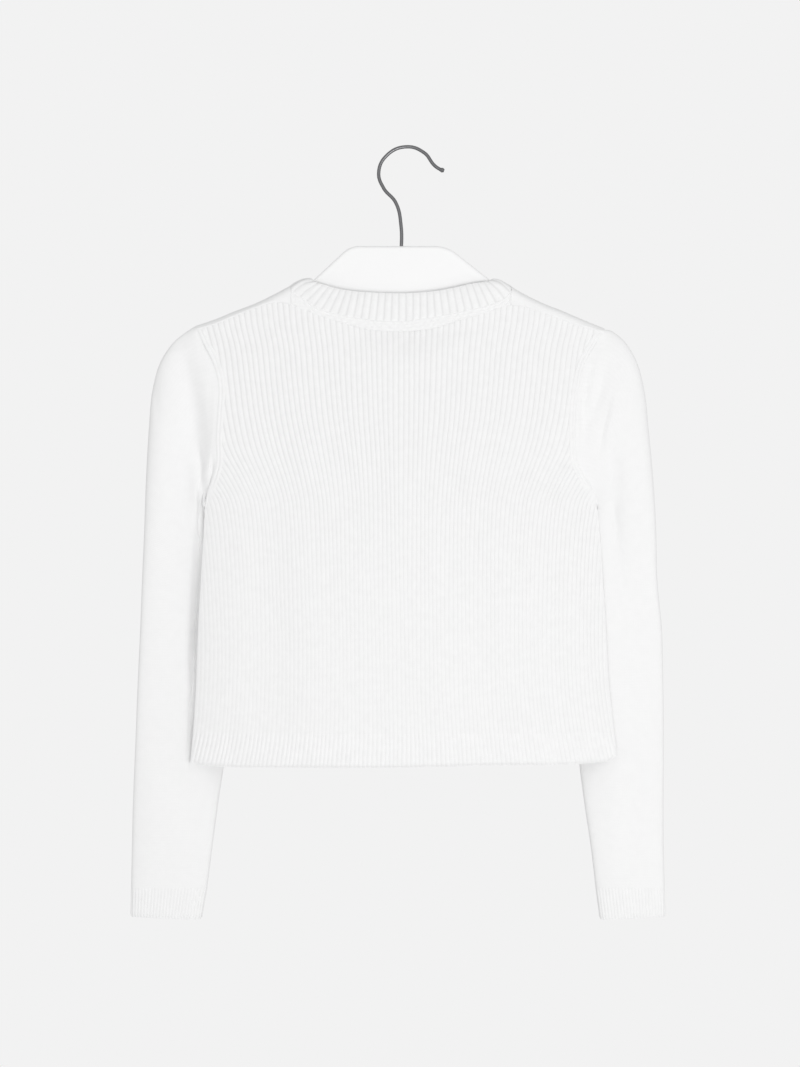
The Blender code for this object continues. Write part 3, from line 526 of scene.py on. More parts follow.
# %% Chart points of a panel whose columns are ribs
def panel_chart(ribs, face, low, high, top_edge, join_z, top_rows, fall, crowd=1.0):
    """Chart x and q: top_rows from the top edge to join_z, then a row at each height of fall.

    A column whose top edge is lower than a row keeps its points on that edge, where they merge.
    """
    def held(x, q):
        for _ in range(5):
            z = height_of(x, q)
            x = np.clip(rib_x(ribs, z), low(z), high(z))
        return x

    x_top = rib_x(ribs, CORNER_Z)
    for _ in range(8):
        x_top = held(x_top, top_edge(x_top))
    q_top = top_edge(x_top)
    rows_x, rows_q = [], []
    for v in np.linspace(0, 1, top_rows, endpoint=False) ** crowd:
        x = x_top
        for _ in range(4):
            ends = chart_q(x, join_z, face)
            q = lerp(q_top, np.where(face * (ends - q_top) > 0, ends, q_top), v)
            x = np.where(q == q_top, x_top, held(x, q))
        rows_x.append(x)
        rows_q.append(q)
    for z in fall:
        x = np.clip(rib_x(ribs, z), low(z), high(z))
        q = chart_q(x, z, face)
        below = face * (q - q_top) > 0
        rows_x.append(np.where(below, x, x_top))
        rows_q.append(np.where(below, q, q_top))
    return np.array(rows_x), np.array(rows_q)


def panel_points(x, q, ribs, rib_depth, folds, front=False):
    """Places of the chart points with their ribs and folds, the base places and their directions."""
    base = on_cloth(x, q)
    facing = outward(base)
    z = base[..., 2]
    near = armhole_gap(x, z)
    sides = np.minimum(x - side_left(z), side_right(z) - x)
    strength = smooth_step(3.5, 7.5, near) * smooth_step(0.0, 3.0, sides)
    swell = 0.85 + 0.15 * np.sin(ribs * 0.57 + z * 0.017) * np.cos(ribs * 0.23 - z * 0.011)
    wrapped = np.where(q > -60.0, smooth_step(QUARTER_BEND * 0.6, QUARTER_BEND * 2.2, q), 1.0)
    if front:
        strength = strength * lerp(0.08, 1.0, wrapped)
        seam_roll = 0.45 * np.exp(-((q - q[0] - 1.2) / 1.3) ** 2) - 0.5 * np.exp(-((q - q[0]) / 0.5) ** 2)
        base = base + facing * (seam_roll * (q < 0))[..., None]
    # Ribs stand deeper, and the material paints more shade into their grooves, towards the shoulders and on
    # one side: the left above the armpits, the right below them.
    to_one_side = lerp(-0.15, 0.3, smooth_step(-280.0, -380.0, z))
    rib_depth_and_painted_shade = lerp(1.6, 0.75, smooth_step(-230.0, -520.0, z)) * (1.0 + to_one_side * x / 200.0)
    relief = rib_depth * (rib_relief(ribs) - 0.8) * swell * strength * rib_depth_and_painted_shade
    relief += fold_height(x, z, folds) * smooth_step(0.0, 22.0, sides) * smooth_step(0.0, 16.0, near)
    return base + facing * relief[..., None], base, facing, strength * rib_depth_and_painted_shade


def knit_uv(ribs, q):
    return np.stack(np.broadcast_arrays(ribs, np.abs(q)), axis=-1)


# %% Back panel
RIB_DEPTH = 0.6
FOOT = HEM_SEAM + HALF_SEAM
BACK_JOIN, FRONT_JOIN = -190.0, -183.0             # from here down a panel's rows are level
ribs = np.arange(-6 * MOST_RIBS, 6 * MOST_RIBS + 1) / 6
fall = np.concatenate([np.linspace(BACK_JOIN, -360, 34, endpoint=False), np.linspace(-360, FOOT, 26)])
x, q = panel_chart(ribs, -1, lambda z: panel_side(-1, z), lambda z: panel_side(1, z), back_edge,
                   BACK_JOIN, 6, fall)
points, base, facing, grooves = panel_points(x, q, ribs, RIB_DEPTH, BACK_FOLDS)
back = cloth_piece("back_panel", points, knit_uv(ribs, q), RIB_WALL, rib_cotton,
                   ["back"], facing, middle_side=-1, grooves=grooves)

# %% Front panels, with a column of points that ends in the corner beside the neck strip
TOP_PITCH = 5.75
fronts, front_area = {}, {}
for name, hand in (("left", -1), ("right", 1)):
    ribs = np.arange(4 * 2, 4 * MOST_RIBS + 1) / 4
    corner = ribs[0]
    for _ in range(20):
        corner += (WRAP_EDGE - abs(float(rib_x(hand * corner, CORNER_Z)))) / TOP_PITCH
    inside = WRAP_EDGE - np.abs(rib_x(hand * ribs, CORNER_Z))
    ribs = hand * np.sort(np.append(ribs[(inside < -0.4) | (inside > 1.2)], corner))
    fall = np.concatenate([np.linspace(FRONT_JOIN, -360, 40, endpoint=False), np.linspace(-360, FOOT, 24)])
    low, high = ((lambda z: panel_side(-1, z), lambda z: -BAND_EDGE) if hand < 0 else
                 (lambda z: BAND_EDGE, lambda z: panel_side(1, z)))
    x, q = panel_chart(ribs, 1, low, high, front_edge, FRONT_JOIN, 18, fall, crowd=1.6)
    points, base, facing, grooves = panel_points(x, q, ribs, RIB_DEPTH, FRONT_FOLDS, front=True)
    front_area[name] = grid_area(base)
    fronts[name] = cloth_piece(f"front_panel_{name}", points, knit_uv(ribs, q), RIB_WALL, rib_cotton,
                               [f"front_{name}"], facing, middle_side=1,
                               grooves=grooves)

# %% [markdown]
# ## Hem
#
# The ribs run on into the hem but stand out more there, and its edge turns in a little, so that the
# light falls off along it.

# %% Hem ribs
HEM_DEPTH = 0.8
hems, hem_area = {}, {}
for name, face, hand, steps in (("back", -1, 0, 6), ("front_left", 1, -1, 4), ("front_right", 1, 1, 4)):
    if hand:
        ribs = hand * np.arange(steps * 2, steps * MOST_RIBS + 1) / steps
    else:
        ribs = np.arange(-steps * MOST_RIBS, steps * MOST_RIBS + 1) / steps
    rows_x, rows_q = [], []
    for v in (0, 0.05, 0.12, 0.22, 0.35, 0.5, 0.7, 0.85, 0.91, 0.95, 0.98, 1.0):
        x = rib_x(ribs, -600.0)
        for _ in range(5):
            z = lerp(FOOT, hem_edge(x), v)
            low = BAND_EDGE if hand > 0 else side_left(z)
            high = -BAND_EDGE if hand < 0 else side_right(z)
            x = np.clip(rib_x(ribs, z), low, high)
        rows_x.append(x)
        rows_q.append(chart_q(x, z, face))
    x, q = np.array(rows_x), np.array(rows_q)
    base = on_cloth(x, q)
    facing = outward(base)
    z = base[..., 2]
    sides = np.minimum(x - side_left(z), side_right(z) - x)
    folds = BACK_FOLDS if face < 0 else FRONT_FOLDS
    bolder = lerp(RIB_DEPTH, HEM_DEPTH, smooth_step(HEM_SEAM, HEM_SEAM - 4, z))
    relief = bolder * (rib_relief(ribs) - 0.8) * smooth_step(0.0, 3.0, sides)
    relief += fold_height(x, z, folds) * smooth_step(0.0, 22.0, sides)
    turn = smooth_step(3.6, 0.0, z - hem_edge(x)) * smooth_step(0.0, 4.0, sides)
    points = base + facing * (relief * (1 - 0.7 * turn) - 2.4 * turn ** 1.5)[..., None]
    hem_area[name] = grid_area(base)
    hems[name] = cloth_piece(f"hem_rib_{name}", points, knit_uv(ribs, q), TRIM_WALL, trim_cotton,
                             [f"hem_{name}"], facing, middle_side=face)

# %% [markdown]
# ## Edge wales round the armholes
#
# A fully fashioned armhole keeps its first two wales along the edge while the ribs end against them.
# They are a narrow raised strip on each panel, from the shoulder seam to the armpit.

# %% Edge wales
EDGE_WIDTH = 6.6
for name, face, hand, owner in (("back_left", -1, -1, back), ("back_right", -1, 1, back),
                                ("front_left", 1, -1, fronts["left"]),
                                ("front_right", 1, 1, fronts["right"])):
    across = np.linspace(0.15, EDGE_WIDTH, 17)
    tip_x = hand * 204.0
    top = height_of(tip_x, back_edge(tip_x)) - SEAM if face < 0 else -184.0
    z = np.linspace(top, ARMPIT + 12, 70)[:, None]
    slope = edge_slope(lambda height: panel_side(hand, height), z)
    x = panel_side(hand, z) - hand * across * np.sqrt(1 + slope ** 2)
    z = z + 0 * x
    q = chart_q(x, z, face)
    base = on_cloth(x, q)
    facing = outward(base)
    wales = across / (EDGE_WIDTH / 2)
    rise = -0.1 + 0.6 * np.abs(np.sin(math.pi * wales)) ** 0.8
    fade = smooth_step(ARMPIT + 10, ARMPIT + 26, z)
    points = base + facing * (rise * fade - 0.4 * (1 - fade))[..., None]
    cloth_piece(f"edge_wales_{name}", points, knit_uv(wales + 0.5, q), 0.5, rib_cotton,
                             [], facing, grooves=0.4)

# %% [markdown]
# ## Neckband
#
# A coarse rib, 7.1 mm from rib to rib, runs all round the neck. It is a closed band on the real
# garment; on the front it ends at the button bands. Its ribs fan out round the corners of the neck,
# because the band's lower edge is longer than its upper one.

# %% The neckband's two edges as chart points
BAND_ROWS = [   # x and z of the upper edge, x and z of the lower edge, on the back
    (-88.0, -129.8, -109.6, -138.2), (-86.5, -131.8, -107.2, -142.6), (-83.0, -133.4, -101.0, -147.2),
    (-76.0, -135.9, -92.0, -153.2), (-66.0, -139.0, -79.0, -160.6), (-48.0, -142.2, -54.0, -166.8),
    (-24.0, -143.9, -27.0, -171.0), (0.0, -144.5, 0.0, -172.0), (20.0, -143.6, 20.0, -169.8),
    (38.0, -141.6, 41.0, -166.2), (55.0, -138.3, 60.0, -162.4), (73.0, -134.2, 82.0, -157.6),
    (83.5, -132.2, 97.0, -152.4), (88.4, -131.2, 106.6, -145.6), (90.0, -129.6, 109.6, -139.4),
]
UP_REACH, LOW_REACH, UP_FALL, LOW_FALL = 88.5, 110.3, 78.5, 104.0
RIDGE_UP = (-88.5, 90.5)                           # where the upper edge crosses the shoulders
NECK_STEPS = 8
BENDS = (QUARTER_BEND, QUARTER_BEND / 2, 0.0)
BACK_START = NECK_STEPS + len(BENDS)               # the first place of BAND_ROWS in the band


def band_edges():
    def front(i, hand):
        pair = []
        for reach, fall in ((UP_REACH, UP_FALL), (LOW_REACH, LOW_FALL)):
            angle = i / NECK_STEPS * math.acos(BAND_EDGE / reach)
            pair.append((hand * reach * math.cos(angle), QUARTER_BEND + fall * math.sin(angle)))
        return pair

    def over(up_x, low_x, q):
        return [(up_x, 0.7 * q), (low_x, q)]

    pairs = [front(i, -1) for i in range(NECK_STEPS, 0, -1)]
    pairs += [over(RIDGE_UP[0], -LOW_REACH, q) for q in BENDS]
    pairs += [[(x0, float(chart_q(x0, z0, -1))), (x1, float(chart_q(x1, z1, -1)))]
              for x0, z0, x1, z1 in BAND_ROWS]
    pairs += [over(RIDGE_UP[1], LOW_REACH, q) for q in BENDS[::-1]]
    pairs += [front(i, 1) for i in range(1, NECK_STEPS + 1)]
    return np.array(pairs)


band = band_edges()                                # place, edge, x or q
places = np.arange(len(band))
band_curves = [[smooth_line(list(zip(places, band[:, edge, k]))) for k in (0, 1)] for edge in (0, 1)]

# %% Neckband
NECK_RIB, BAND_DEEP = 7.1, 28
fine = np.linspace(0, len(band) - 1, 2000)
middle_line = on_cloth(*(lerp(band_curves[0][k](fine), band_curves[1][k](fine), 0.5) for k in (0, 1)))
lengths = np.concatenate([[0], np.cumsum(np.linalg.norm(np.diff(middle_line, axis=0), axis=1))])
neck_ribs = np.linspace(0, lengths[-1] / NECK_RIB, int(lengths[-1] / NECK_RIB * 8))
course = np.interp(neck_ribs * NECK_RIB, lengths, fine)
rows = []
down = np.array([0, 0.03, 0.08, 0.16, 0.28, 0.42, 0.56, 0.7, 0.84, 0.93, 1.0, 1.045])[:, None]
x, q = (lerp(band_curves[0][k](course), band_curves[1][k](course), down) for k in (0, 1))
base = on_cloth(x, q)
facing = outward(base)
roll = 1.3 * 4 * down * np.maximum(1 - down, 0.0) * np.minimum(np.abs(q) / QUARTER_BEND, 1.0)
relief = 1.1 * (rib_relief(neck_ribs + 0.5) - 0.8)
relief = relief * smooth_step(0.0, 0.1, down) * smooth_step(1.0, 0.93, down)
relief = relief - 0.7 * smooth_step(0.1, 0.0, down) - 0.8 * smooth_step(1.0, 1.04, down)
points = base + facing * (roll + relief)[..., None]
upper, lower = band[BACK_START + len(BAND_ROWS) // 2]
band_width = float(np.linalg.norm(on_cloth(*upper) - on_cloth(*lower)))
cloth_piece("neckband_rib", points, knit_uv(neck_ribs + 0.5, BAND_DEEP * down), TRIM_WALL, neck_cotton,
            ["neckband"], facing)
print(f"neckband: {lengths[-1]:.0f} mm round, {band_width:.0f} mm deep")

# %% [markdown]
# ## Neck strip
#
# Between the neckband and the back a narrow strip is linked in, from shoulder seam to shoulder seam.
# Its stitches lie across, so it looks blotchy beside the ribs; it looks brighter too, because its plain
# knit material paints only a faint shade into its grooves.

# %% Neck strip
STRIP_END, STRIP_STITCH = 112.4, 4.3
line = band[BACK_START:BACK_START + len(BAND_ROWS), 1]
tangent = np.gradient(line, axis=0)
tangent /= np.linalg.norm(tangent, axis=1, keepdims=True)
line = line + 0.05 * np.stack([tangent[:, 1], -tangent[:, 0]], axis=1)
strip_places = np.linspace(0, len(line) - 1, 330)
strip_x, strip_q = (smooth_line(list(enumerate(line[:, k])))(strip_places) for k in (0, 1))
foot_x = strip_x * (NECK_CORNER - SEAM) / abs(line[0, 0])
foot_q = chart_q(foot_x, back_top(foot_x), -1)
strip_x, foot_x, strip_q, foot_q = (np.pad(edge, 1, mode="edge")
                                    for edge in (strip_x, foot_x, strip_q, foot_q))
for edge in (strip_x, foot_x):
    edge[[0, -1]] = -STRIP_END, STRIP_END
tucked = smooth_step(110.0, 111.6, np.abs(foot_x))     # both ends go in under the front panels
down = np.linspace(0, 1, 11)[:, None]
x, q = lerp(strip_x, foot_x, down), lerp(strip_q, foot_q, down)
base = on_cloth(x, q)
facing = outward(base)
rows_across = np.abs(q - strip_q)
purl = 0.42 * np.sin(rows_across * 2 * math.pi / 3.4) * (0.7 + 0.3 * np.sin(x * 1.1 + 2 * np.sin(x * 0.13)))
lumps = 0.45 * np.sin(x * 0.74 + 1.3 * np.sin(x * 0.21)) * np.sin(rows_across * 0.8 + x * 0.05)
edge_dip = 0.7 * (smooth_step(0.12, 0.0, down) + smooth_step(0.9, 1.0, down))
points = base + facing * ((0.35 + purl + lumps) * (1 - tucked) - edge_dip - 1.2 * tucked)[..., None]
cloth_piece("neck_strip_linked", points, knit_uv(x / STRIP_STITCH, rows_across), RIB_WALL, plain_cotton,
            ["neck_strip"], facing)

# %% [markdown]
# ## Front bands and buttons
#
# Nothing of the front shows in the picture, so it is finished plainly: two ribbed bands lapped fully
# over each other, closed with six plain four-hole buttons.

# %% Front bands
BUTTONS, BUTTON_ACROSS, BUTTON_THICK = 6, 11.5, 2.4
BAND_RIB = BAND_WIDTH / 8
button_z = np.linspace(BAND_TOP - 12, HEM_SEAM - 16, BUTTONS)
for name, sink in (("buttonhole", 0.0), ("button", TRIM_WALL + 0.3)):
    columns = np.linspace(-BAND_REACH, BAND_REACH, 49)
    down = np.linspace(0, 1, 130)[:, None]
    z = lerp(BAND_TOP, hem_edge(columns), down)
    x = columns + 0 * z
    q = chart_q(x, z, 1)
    base = on_cloth(x, q)
    facing = outward(base)
    band_ribs = columns / BAND_RIB
    edge = smooth_step(0.0, 1.2, BAND_REACH - np.abs(columns))
    relief = 0.6 * (rib_relief(band_ribs + 0.5) - 1.0) * edge - 0.5 * (1 - edge)
    if not sink:
        for height in button_z:
            slit = np.exp(-((x / 1.1) ** 2)) * smooth_step(8.0, 6.0, np.abs(z - height))
            border = np.exp(-(((np.abs(x) - 2.0) / 0.9) ** 2)) * smooth_step(9.0, 7.0, np.abs(z - height))
            relief = relief - 0.9 * slit + 0.25 * border
    points = base + facing * (relief - sink)[..., None]
    cloth_piece(f"front_band_{name}", points, knit_uv(band_ribs + 0.5, q), TRIM_WALL, trim_cotton,
                [f"band_{name}"], facing)

# %% [markdown]
# A button is turned from a blank: a disc with a rounded rim and a dished face, drilled four times.
# Here the disc is a profile spun round its axis, the holes are cut with a boolean, and two crossed
# bars of thread fill them.

# %% Buttons
HOLE_RADIUS, HOLE_PLACE = 0.75, 1.5                # a hole, and how far it is from the middle


def mesh_from(bm, name):
    mesh = bpy.data.meshes.new(name)
    bm.to_mesh(mesh)
    bm.free()
    return mesh


def turned_disc():
    radius = BUTTON_ACROSS / 2
    profile = [(0.0, 0.62), (0.42, 0.64), (0.58, 0.74), (0.68, 0.94), (0.78, 1.0), (0.88, 0.97),
               (0.96, 0.84), (1.0, 0.6), (0.97, 0.34), (0.88, 0.1), (0.74, 0.0), (0.0, 0.0)]
    bm = bmesh.new()
    verts = [bm.verts.new((r * radius * MM, 0, h * BUTTON_THICK * MM)) for r, h in profile]
    chain = [bm.edges.new(pair) for pair in zip(verts, verts[1:])]
    bmesh.ops.spin(bm, geom=verts + chain, cent=(0, 0, 0), axis=(0, 0, 1), angle=2 * math.pi, steps=48,
                   use_merge=True)
    bmesh.ops.remove_doubles(bm, verts=bm.verts, dist=1e-6)
    bmesh.ops.recalc_face_normals(bm, faces=bm.faces)
    return mesh_from(bm, "button_disc")


def drilled(disc):
    bm = bmesh.new()
    for turn in range(4):
        made = bmesh.ops.create_cone(bm, cap_ends=True, segments=20, radius1=HOLE_RADIUS * MM,
                                     radius2=HOLE_RADIUS * MM, depth=4 * BUTTON_THICK * MM)
        angle = math.pi / 4 + turn * math.pi / 2
        place = (HOLE_PLACE * MM * math.cos(angle), HOLE_PLACE * MM * math.sin(angle), 0)
        bmesh.ops.translate(bm, verts=made["verts"], vec=place)
    drill = bpy.data.objects.new("drill", mesh_from(bm, "drill"))
    blank = bpy.data.objects.new("blank", disc)
    for thing in (drill, blank):
        bpy.context.scene.collection.objects.link(thing)
    cut = blank.modifiers.new("holes", "BOOLEAN")
    cut.operation, cut.solver, cut.object = "DIFFERENCE", "MANIFOLD", drill
    bpy.context.view_layer.update()
    mesh = bpy.data.meshes.new_from_object(blank.evaluated_get(bpy.context.evaluated_depsgraph_get()))
    for thing in (drill, blank):
        bpy.data.objects.remove(thing)
    return mesh


def thread_cross():
    bm = bmesh.new()
    for turn in (0, 1):
        made = bmesh.ops.create_cube(bm, size=1.0)
        bmesh.ops.scale(bm, verts=made["verts"], vec=(3.6 * MM, 0.7 * MM, 0.35 * MM))
        angle = math.pi / 4 + turn * math.pi / 2
        bmesh.ops.rotate(bm, verts=made["verts"], cent=(0, 0, 0), matrix=Matrix.Rotation(angle, 3, "Z"))
        bmesh.ops.translate(bm, verts=made["verts"], vec=(0, 0, (0.66 + 0.08 * turn) * BUTTON_THICK * MM))
    bmesh.ops.bevel(bm, geom=bm.edges[:], offset=0.12 * MM, affect="EDGES", segments=2, profile=0.5,
                    material=-1)
    return mesh_from(bm, "thread_cross")


disc_mesh, thread_mesh = drilled(turned_disc()), thread_cross()
thread_cotton = new_material("sewing_thread", "#E4E2DC", Roughness=0.8, Sheen_Weight=0.2)[0]
radius = BUTTON_ACROSS / 2
for i, z in enumerate(button_z):
    face = max(float(half_depth(0.0, z + dz, 1)) for dz in (-radius, 0.0, radius))
    place = (Matrix.Translation(Vector((0, face + 0.3, z)) * MM) @ Matrix.Rotation(-math.pi / 2, 4, "X")
             @ Matrix.Rotation(0.09 * (i % 3 - 1), 4, "Z"))
    for kind, source, material, slot, nodes in (
            ("button", disc_mesh, cast_resin, "button_resin", [f"button_{i + 1}"]),
            ("button_thread", thread_mesh, thread_cotton, "rib_knit", [])):
        mesh = source.copy()
        mesh.transform(place)
        mesh.shade_smooth()
        mesh.set_sharp_from_angle(angle=math.radians(50))
        mesh.materials.clear()
        finish_piece(mesh, f"{kind}_sewn_{i + 1}", material, nodes)
print("buttons at z =", np.round(button_z, 1))

# %% [markdown]
# ## Sleeves
#
# A set-in sleeve is a tube whose top is cut to the armhole. The tube is lofted: the armhole's own line
# first, then a flat, soft section at each measured height. Between the sections it follows a smooth
# curve, so no section shows. The folds are drawn on it afterwards.

# %% Sleeve sections from the shoulder down
# Each: z_out, left_out, right_out, z_in, left_in, right_in, half thickness, how far the outer and the
# inner edge hang forward, bow, and depth of the hollow beside the armhole.
SLEEVE = np.array([
    (-182.5, -214.5, 212.0, -358, -196.2, 195.8, 15.0, 0, 3, 12, 2.0),
    (-192.0, -226.5, 223.5, -362, -195.6, 195.8, 15.5, 0, 6, 7, 5.0),
    (-212.6, -240.6, 235.8, -367, -194.4, 195.6, 16.0, 0, 9, 3, 8.0),
    (-240.0, -248.4, 243.2, -373, -192.6, 194.4, 16.0, 1, 11, 1, 9.0),
    (-281.0, -252.3, 247.8, -381, -189.6, 191.2, 15.6, 2, 13, 0, 9.0),
    (-330.0, -255.2, 252.5, -392, -187.0, 189.0, 15.0, 4, 16, 0, 8.0),
    (-378.6, -257.0, 255.4, -409, -181.4, 183.4, 14.0, 6, 18, 0, 6.0),
    (-426.0, -259.2, 256.6, -433, -178.0, 180.0, 13.0, 9, 19, 0, 4.0),
    (-480.0, -261.4, 261.4, -481, -172.0, 174.0, 12.0, 11, 20, 0, 2.0),
    (-540.0, -264.2, 263.0, -540, -171.0, 173.0, 11.4, 12, 20, 0, 0.0),
    (-596.0, -266.4, 263.6, -596, -175.0, 177.0, 11.0, 13, 19, 0, 0.0),
    (-652.0, -268.6, 263.2, -652, -183.0, 183.6, 10.4, 12, 13, 0, 0.0),
    (-700.0, -269.8, 263.4, -700, -189.4, 190.6, 10.0, 12, 12, 0, 0.0),
    (-739.0, -270.6, 264.4, -739, -194.4, 195.2, 9.6, 12, 13, 0, 0.0),
    (-768.0, -271.2, 265.2, -771, -200.0, 199.4, 9.2, 12, 12, 0, 0.0),
])


def armhole_ring(hand, angles):
    """The sleeve's top, a seam outside the armhole; angle 0 is the shoulder tip, pi the armpit."""
    w = (1 - np.cos(angles)) / 2
    face = np.where(np.sin(angles) >= -1e-9, -1, 1)
    tip_x = hand * 205.6
    z = lerp(float(ridge(tip_x)), ARMPIT, w)
    line = side_left(z) if hand < 0 else side_right(z)
    panel_x = line - hand * HALF_SEAM
    return np.stack([panel_x + hand * 0.05, face * half_depth(panel_x, z, face), z], axis=-1)


def section_ring(hand, section, angles):
    """One row of SLEEVE as a flat ring, with the hollow beside the armhole pressed into it."""
    z_out, left_out, right_out, z_in, left_in, right_in, half, out_y, in_y, bow, hollow = section
    x_out, x_in = (left_out, left_in) if hand < 0 else (right_out, right_in)
    w = (1 - np.cos(angles)) / 2
    face = np.where(np.sin(angles) >= -1e-9, -1, 1)
    round_ = np.abs(np.sin(angles))
    centre, spread = (0.56, 0.26) if hand < 0 else (0.72, 0.2)
    dip = hollow * round_ * np.exp(-((w - centre) / spread) ** 2)
    flatness = lerp(0.9, 0.55, smooth_step(-300, -450, z_out))
    tight = smooth_step(-430, -330, z_out) * smooth_step(0.74, 0.98, w)
    swell = half * round_ ** flatness * (1 - 0.75 * tight) - np.where(face < 0, 1.0, 0.7) * dip * (1 - tight)
    x = lerp(x_out, x_in, w) - hand * bow * np.sin(math.pi * w)
    return np.stack([x, lerp(out_y, in_y, w) + face * swell, lerp(z_out, z_in, w)], axis=-1)


def loft(rings, marks, at):
    """Rings between the given ones, on smooth curves through each column's points."""
    rings = np.array(rings)
    slopes = np.gradient(rings, marks, axis=0)
    i = np.clip(np.searchsorted(marks, at, side="right") - 1, 0, len(marks) - 2)
    span = (marks[i + 1] - marks[i])[:, None, None]
    t = (at - marks[i])[:, None, None] / span
    return ((1 + 2 * t) * (1 - t) ** 2 * rings[i] + t * (1 - t) ** 2 * span * slopes[i]
            + t * t * (3 - 2 * t) * rings[i + 1] - t * t * (1 - t) * span * slopes[i + 1])


def tube_facing(points):
    """Outward directions of a tube whose last column repeats its first."""
    down = np.gradient(points, axis=0)
    ring = np.concatenate([points[:, -2:-1], points, points[:, 1:2]], axis=1)
    across = ring[:, 2:] - ring[:, :-2]
    facing = np.cross(down, across)
    facing /= np.linalg.norm(facing, axis=-1, keepdims=True)
    middle = points[:, :-1].mean(axis=1, keepdims=True)
    return facing if (facing * (points - middle)).sum() > 0 else -facing


# %% Folds of the sleeves, as (height, width, line of x, z)
LEFT_FOLDS = [
    (-7.5, 11.5, [(-219, -198), (-213, -231), (-209, -262), (-207, -291), (-204, -330)]),
    (0.6, 8.0, [(-230, -320), (-228, -390), (-228, -440)]),
    (-0.7, 3.5, [(-244, -228), (-245, -252), (-242, -276)]),
    (-4.0, 4.0, [(-206, -296), (-203, -318), (-200, -340), (-199, -358)]),
    (-8.5, 5.0, [(-199, -350), (-201, -370), (-203, -427), (-206, -483), (-208, -532)]),
    (-4.5, 3.0, [(-205, -460), (-208, -539), (-210, -590), (-212, -624)]),
    (-0.7, 10.0, [(-222, -622), (-215, -660), (-218, -700)]),
    (0.6, 10.0, [(-246, -600), (-248, -660), (-250, -716)]),
    (-0.6, 9.0, [(-204, -636), (-203, -680), (-210, -720)]),
]
RIGHT_FOLDS = [
    (-3.2, 6.0, [(204, -216), (200, -236), (194, -256), (187, -280)]),
    (-4.0, 6.5, [(188, -212), (183, -236), (180.5, -262), (180.5, -290), (186, -322)]),
    (-0.4, 1.6, [(212, -236), (208, -257), (203, -276), (197, -306), (192, -336)]),
    (2.6, 5.2, [(218, -232), (213, -257), (208.5, -276), (203, -305), (199, -333), (200, -360)]),
    (1.6, 11.0, [(225, -236), (220, -262), (215, -284), (209, -312), (206, -350)]),
    (-0.9, 5.0, [(221, -218), (220, -240), (218, -262)]),
    (-0.8, 10.0, [(234, -560), (236, -640), (230, -716)]),
    (0.7, 11.0, [(214, -590), (212, -650), (216, -716)]),
]
FAR_FOLDS = [
    (-1.8, 7.0, [(0, -214), (-3, -246), (-9, -290), (-16, -330)]),
    (1.0, 9.0, [(18, -230), (16, -290), (12, -360)]),
    (-0.8, 9.0, [(4, -560), (8, -640), (4, -710)]),
]

# %% Sleeves
AROUND, WALE = 132, 2.1
angles = np.linspace(0, 2 * math.pi, AROUND + 1)
sleeves, sleeve_area = {}, {}
for name, hand, folds in (("left", -1, LEFT_FOLDS), ("right", 1, RIGHT_FOLDS)):
    rings = [armhole_ring(hand, angles)] + [section_ring(hand, s, angles) for s in SLEEVE[:-1]]
    gaps = np.linalg.norm(np.diff(np.array(rings), axis=0), axis=-1).mean(axis=1)
    marks = np.concatenate([[0.0], np.cumsum(gaps)])
    at = np.concatenate([np.linspace(0, marks[3], 34, endpoint=False),
                         np.linspace(marks[3], marks[-1], 92)])
    base = loft(rings, marks, at)
    facing = tube_facing(base)
    x, z = base[..., 0], base[..., 2]
    back_face = smooth_step(-0.05, 0.35, np.sin(angles))
    front_face = smooth_step(-0.05, 0.35, -np.sin(angles))
    lap = smooth_step(0.0, 6.0, at)[:, None]
    relief = fold_height(x, z, folds) * back_face * lap
    mirrored = [(h, w, [(hand * (px + 206), pz) for px, pz in line]) for h, w, line in FAR_FOLDS]
    relief = relief + fold_height(x, z, mirrored) * front_face * lap
    deeper = 1.5 * smooth_step(-228, -212, z) if hand < 0 else 0.0
    seam_dip = -(0.25 + deeper) * np.exp(-(at / 2.4) ** 2)[:, None] * smooth_step(-318, -300, z)
    if hand < 0:
        seam_dip = seam_dip - 3.2 * np.exp(-((at - 4.5) / 2.6) ** 2)[:, None] * smooth_step(-304, -322, z)
    pucker = 0.9 * np.sin(z * 2 * math.pi / 4.4) * np.exp(-((at - 4.5) / 3.5) ** 2)[:, None]
    pucker = pucker * smooth_step(-196, -214, z) * smooth_step(-306, -292, z)
    strength = 1.0 if hand > 0 else 0.25
    relief = relief + (seam_dip + strength * pucker) * (np.abs(np.sin(angles)) ** 0.5)
    points = base + facing * relief[..., None]
    # Beside the body the right sleeve's back face lies no nearer the camera than the body's edge.
    side = side_left(z) if hand < 0 else side_right(z)
    away = hand * (x - side)
    beside = smooth_step(-285, -315, z) * smooth_step(-612, -590, z) if hand > 0 else 0.0
    near_body = beside * smooth_step(-5, 0, away) * smooth_step(48, 4, away)
    level = 0.8 - 0.95 * depth_edge(z)
    points[..., 1] -= np.maximum(points[..., 1] - level, 0.0) * near_body * back_face
    around = np.concatenate([[0], np.cumsum(np.linalg.norm(np.diff(base[60], axis=0), axis=1))])
    sleeve_area[name] = grid_area(base)
    uv = np.stack(np.broadcast_arrays(around / WALE, at[:, None]), axis=-1)
    sleeves[name] = cloth_piece(f"sleeve_knit_{name}", points, uv, PLAIN_WALL, plain_cotton,
                                [f"sleeve_{name}"], facing)

# %% [markdown]
# ## Cuffs
#
# The cuff is a fine rib, about 3.3 mm from rib to rib, and its edge turns in like the hem's.

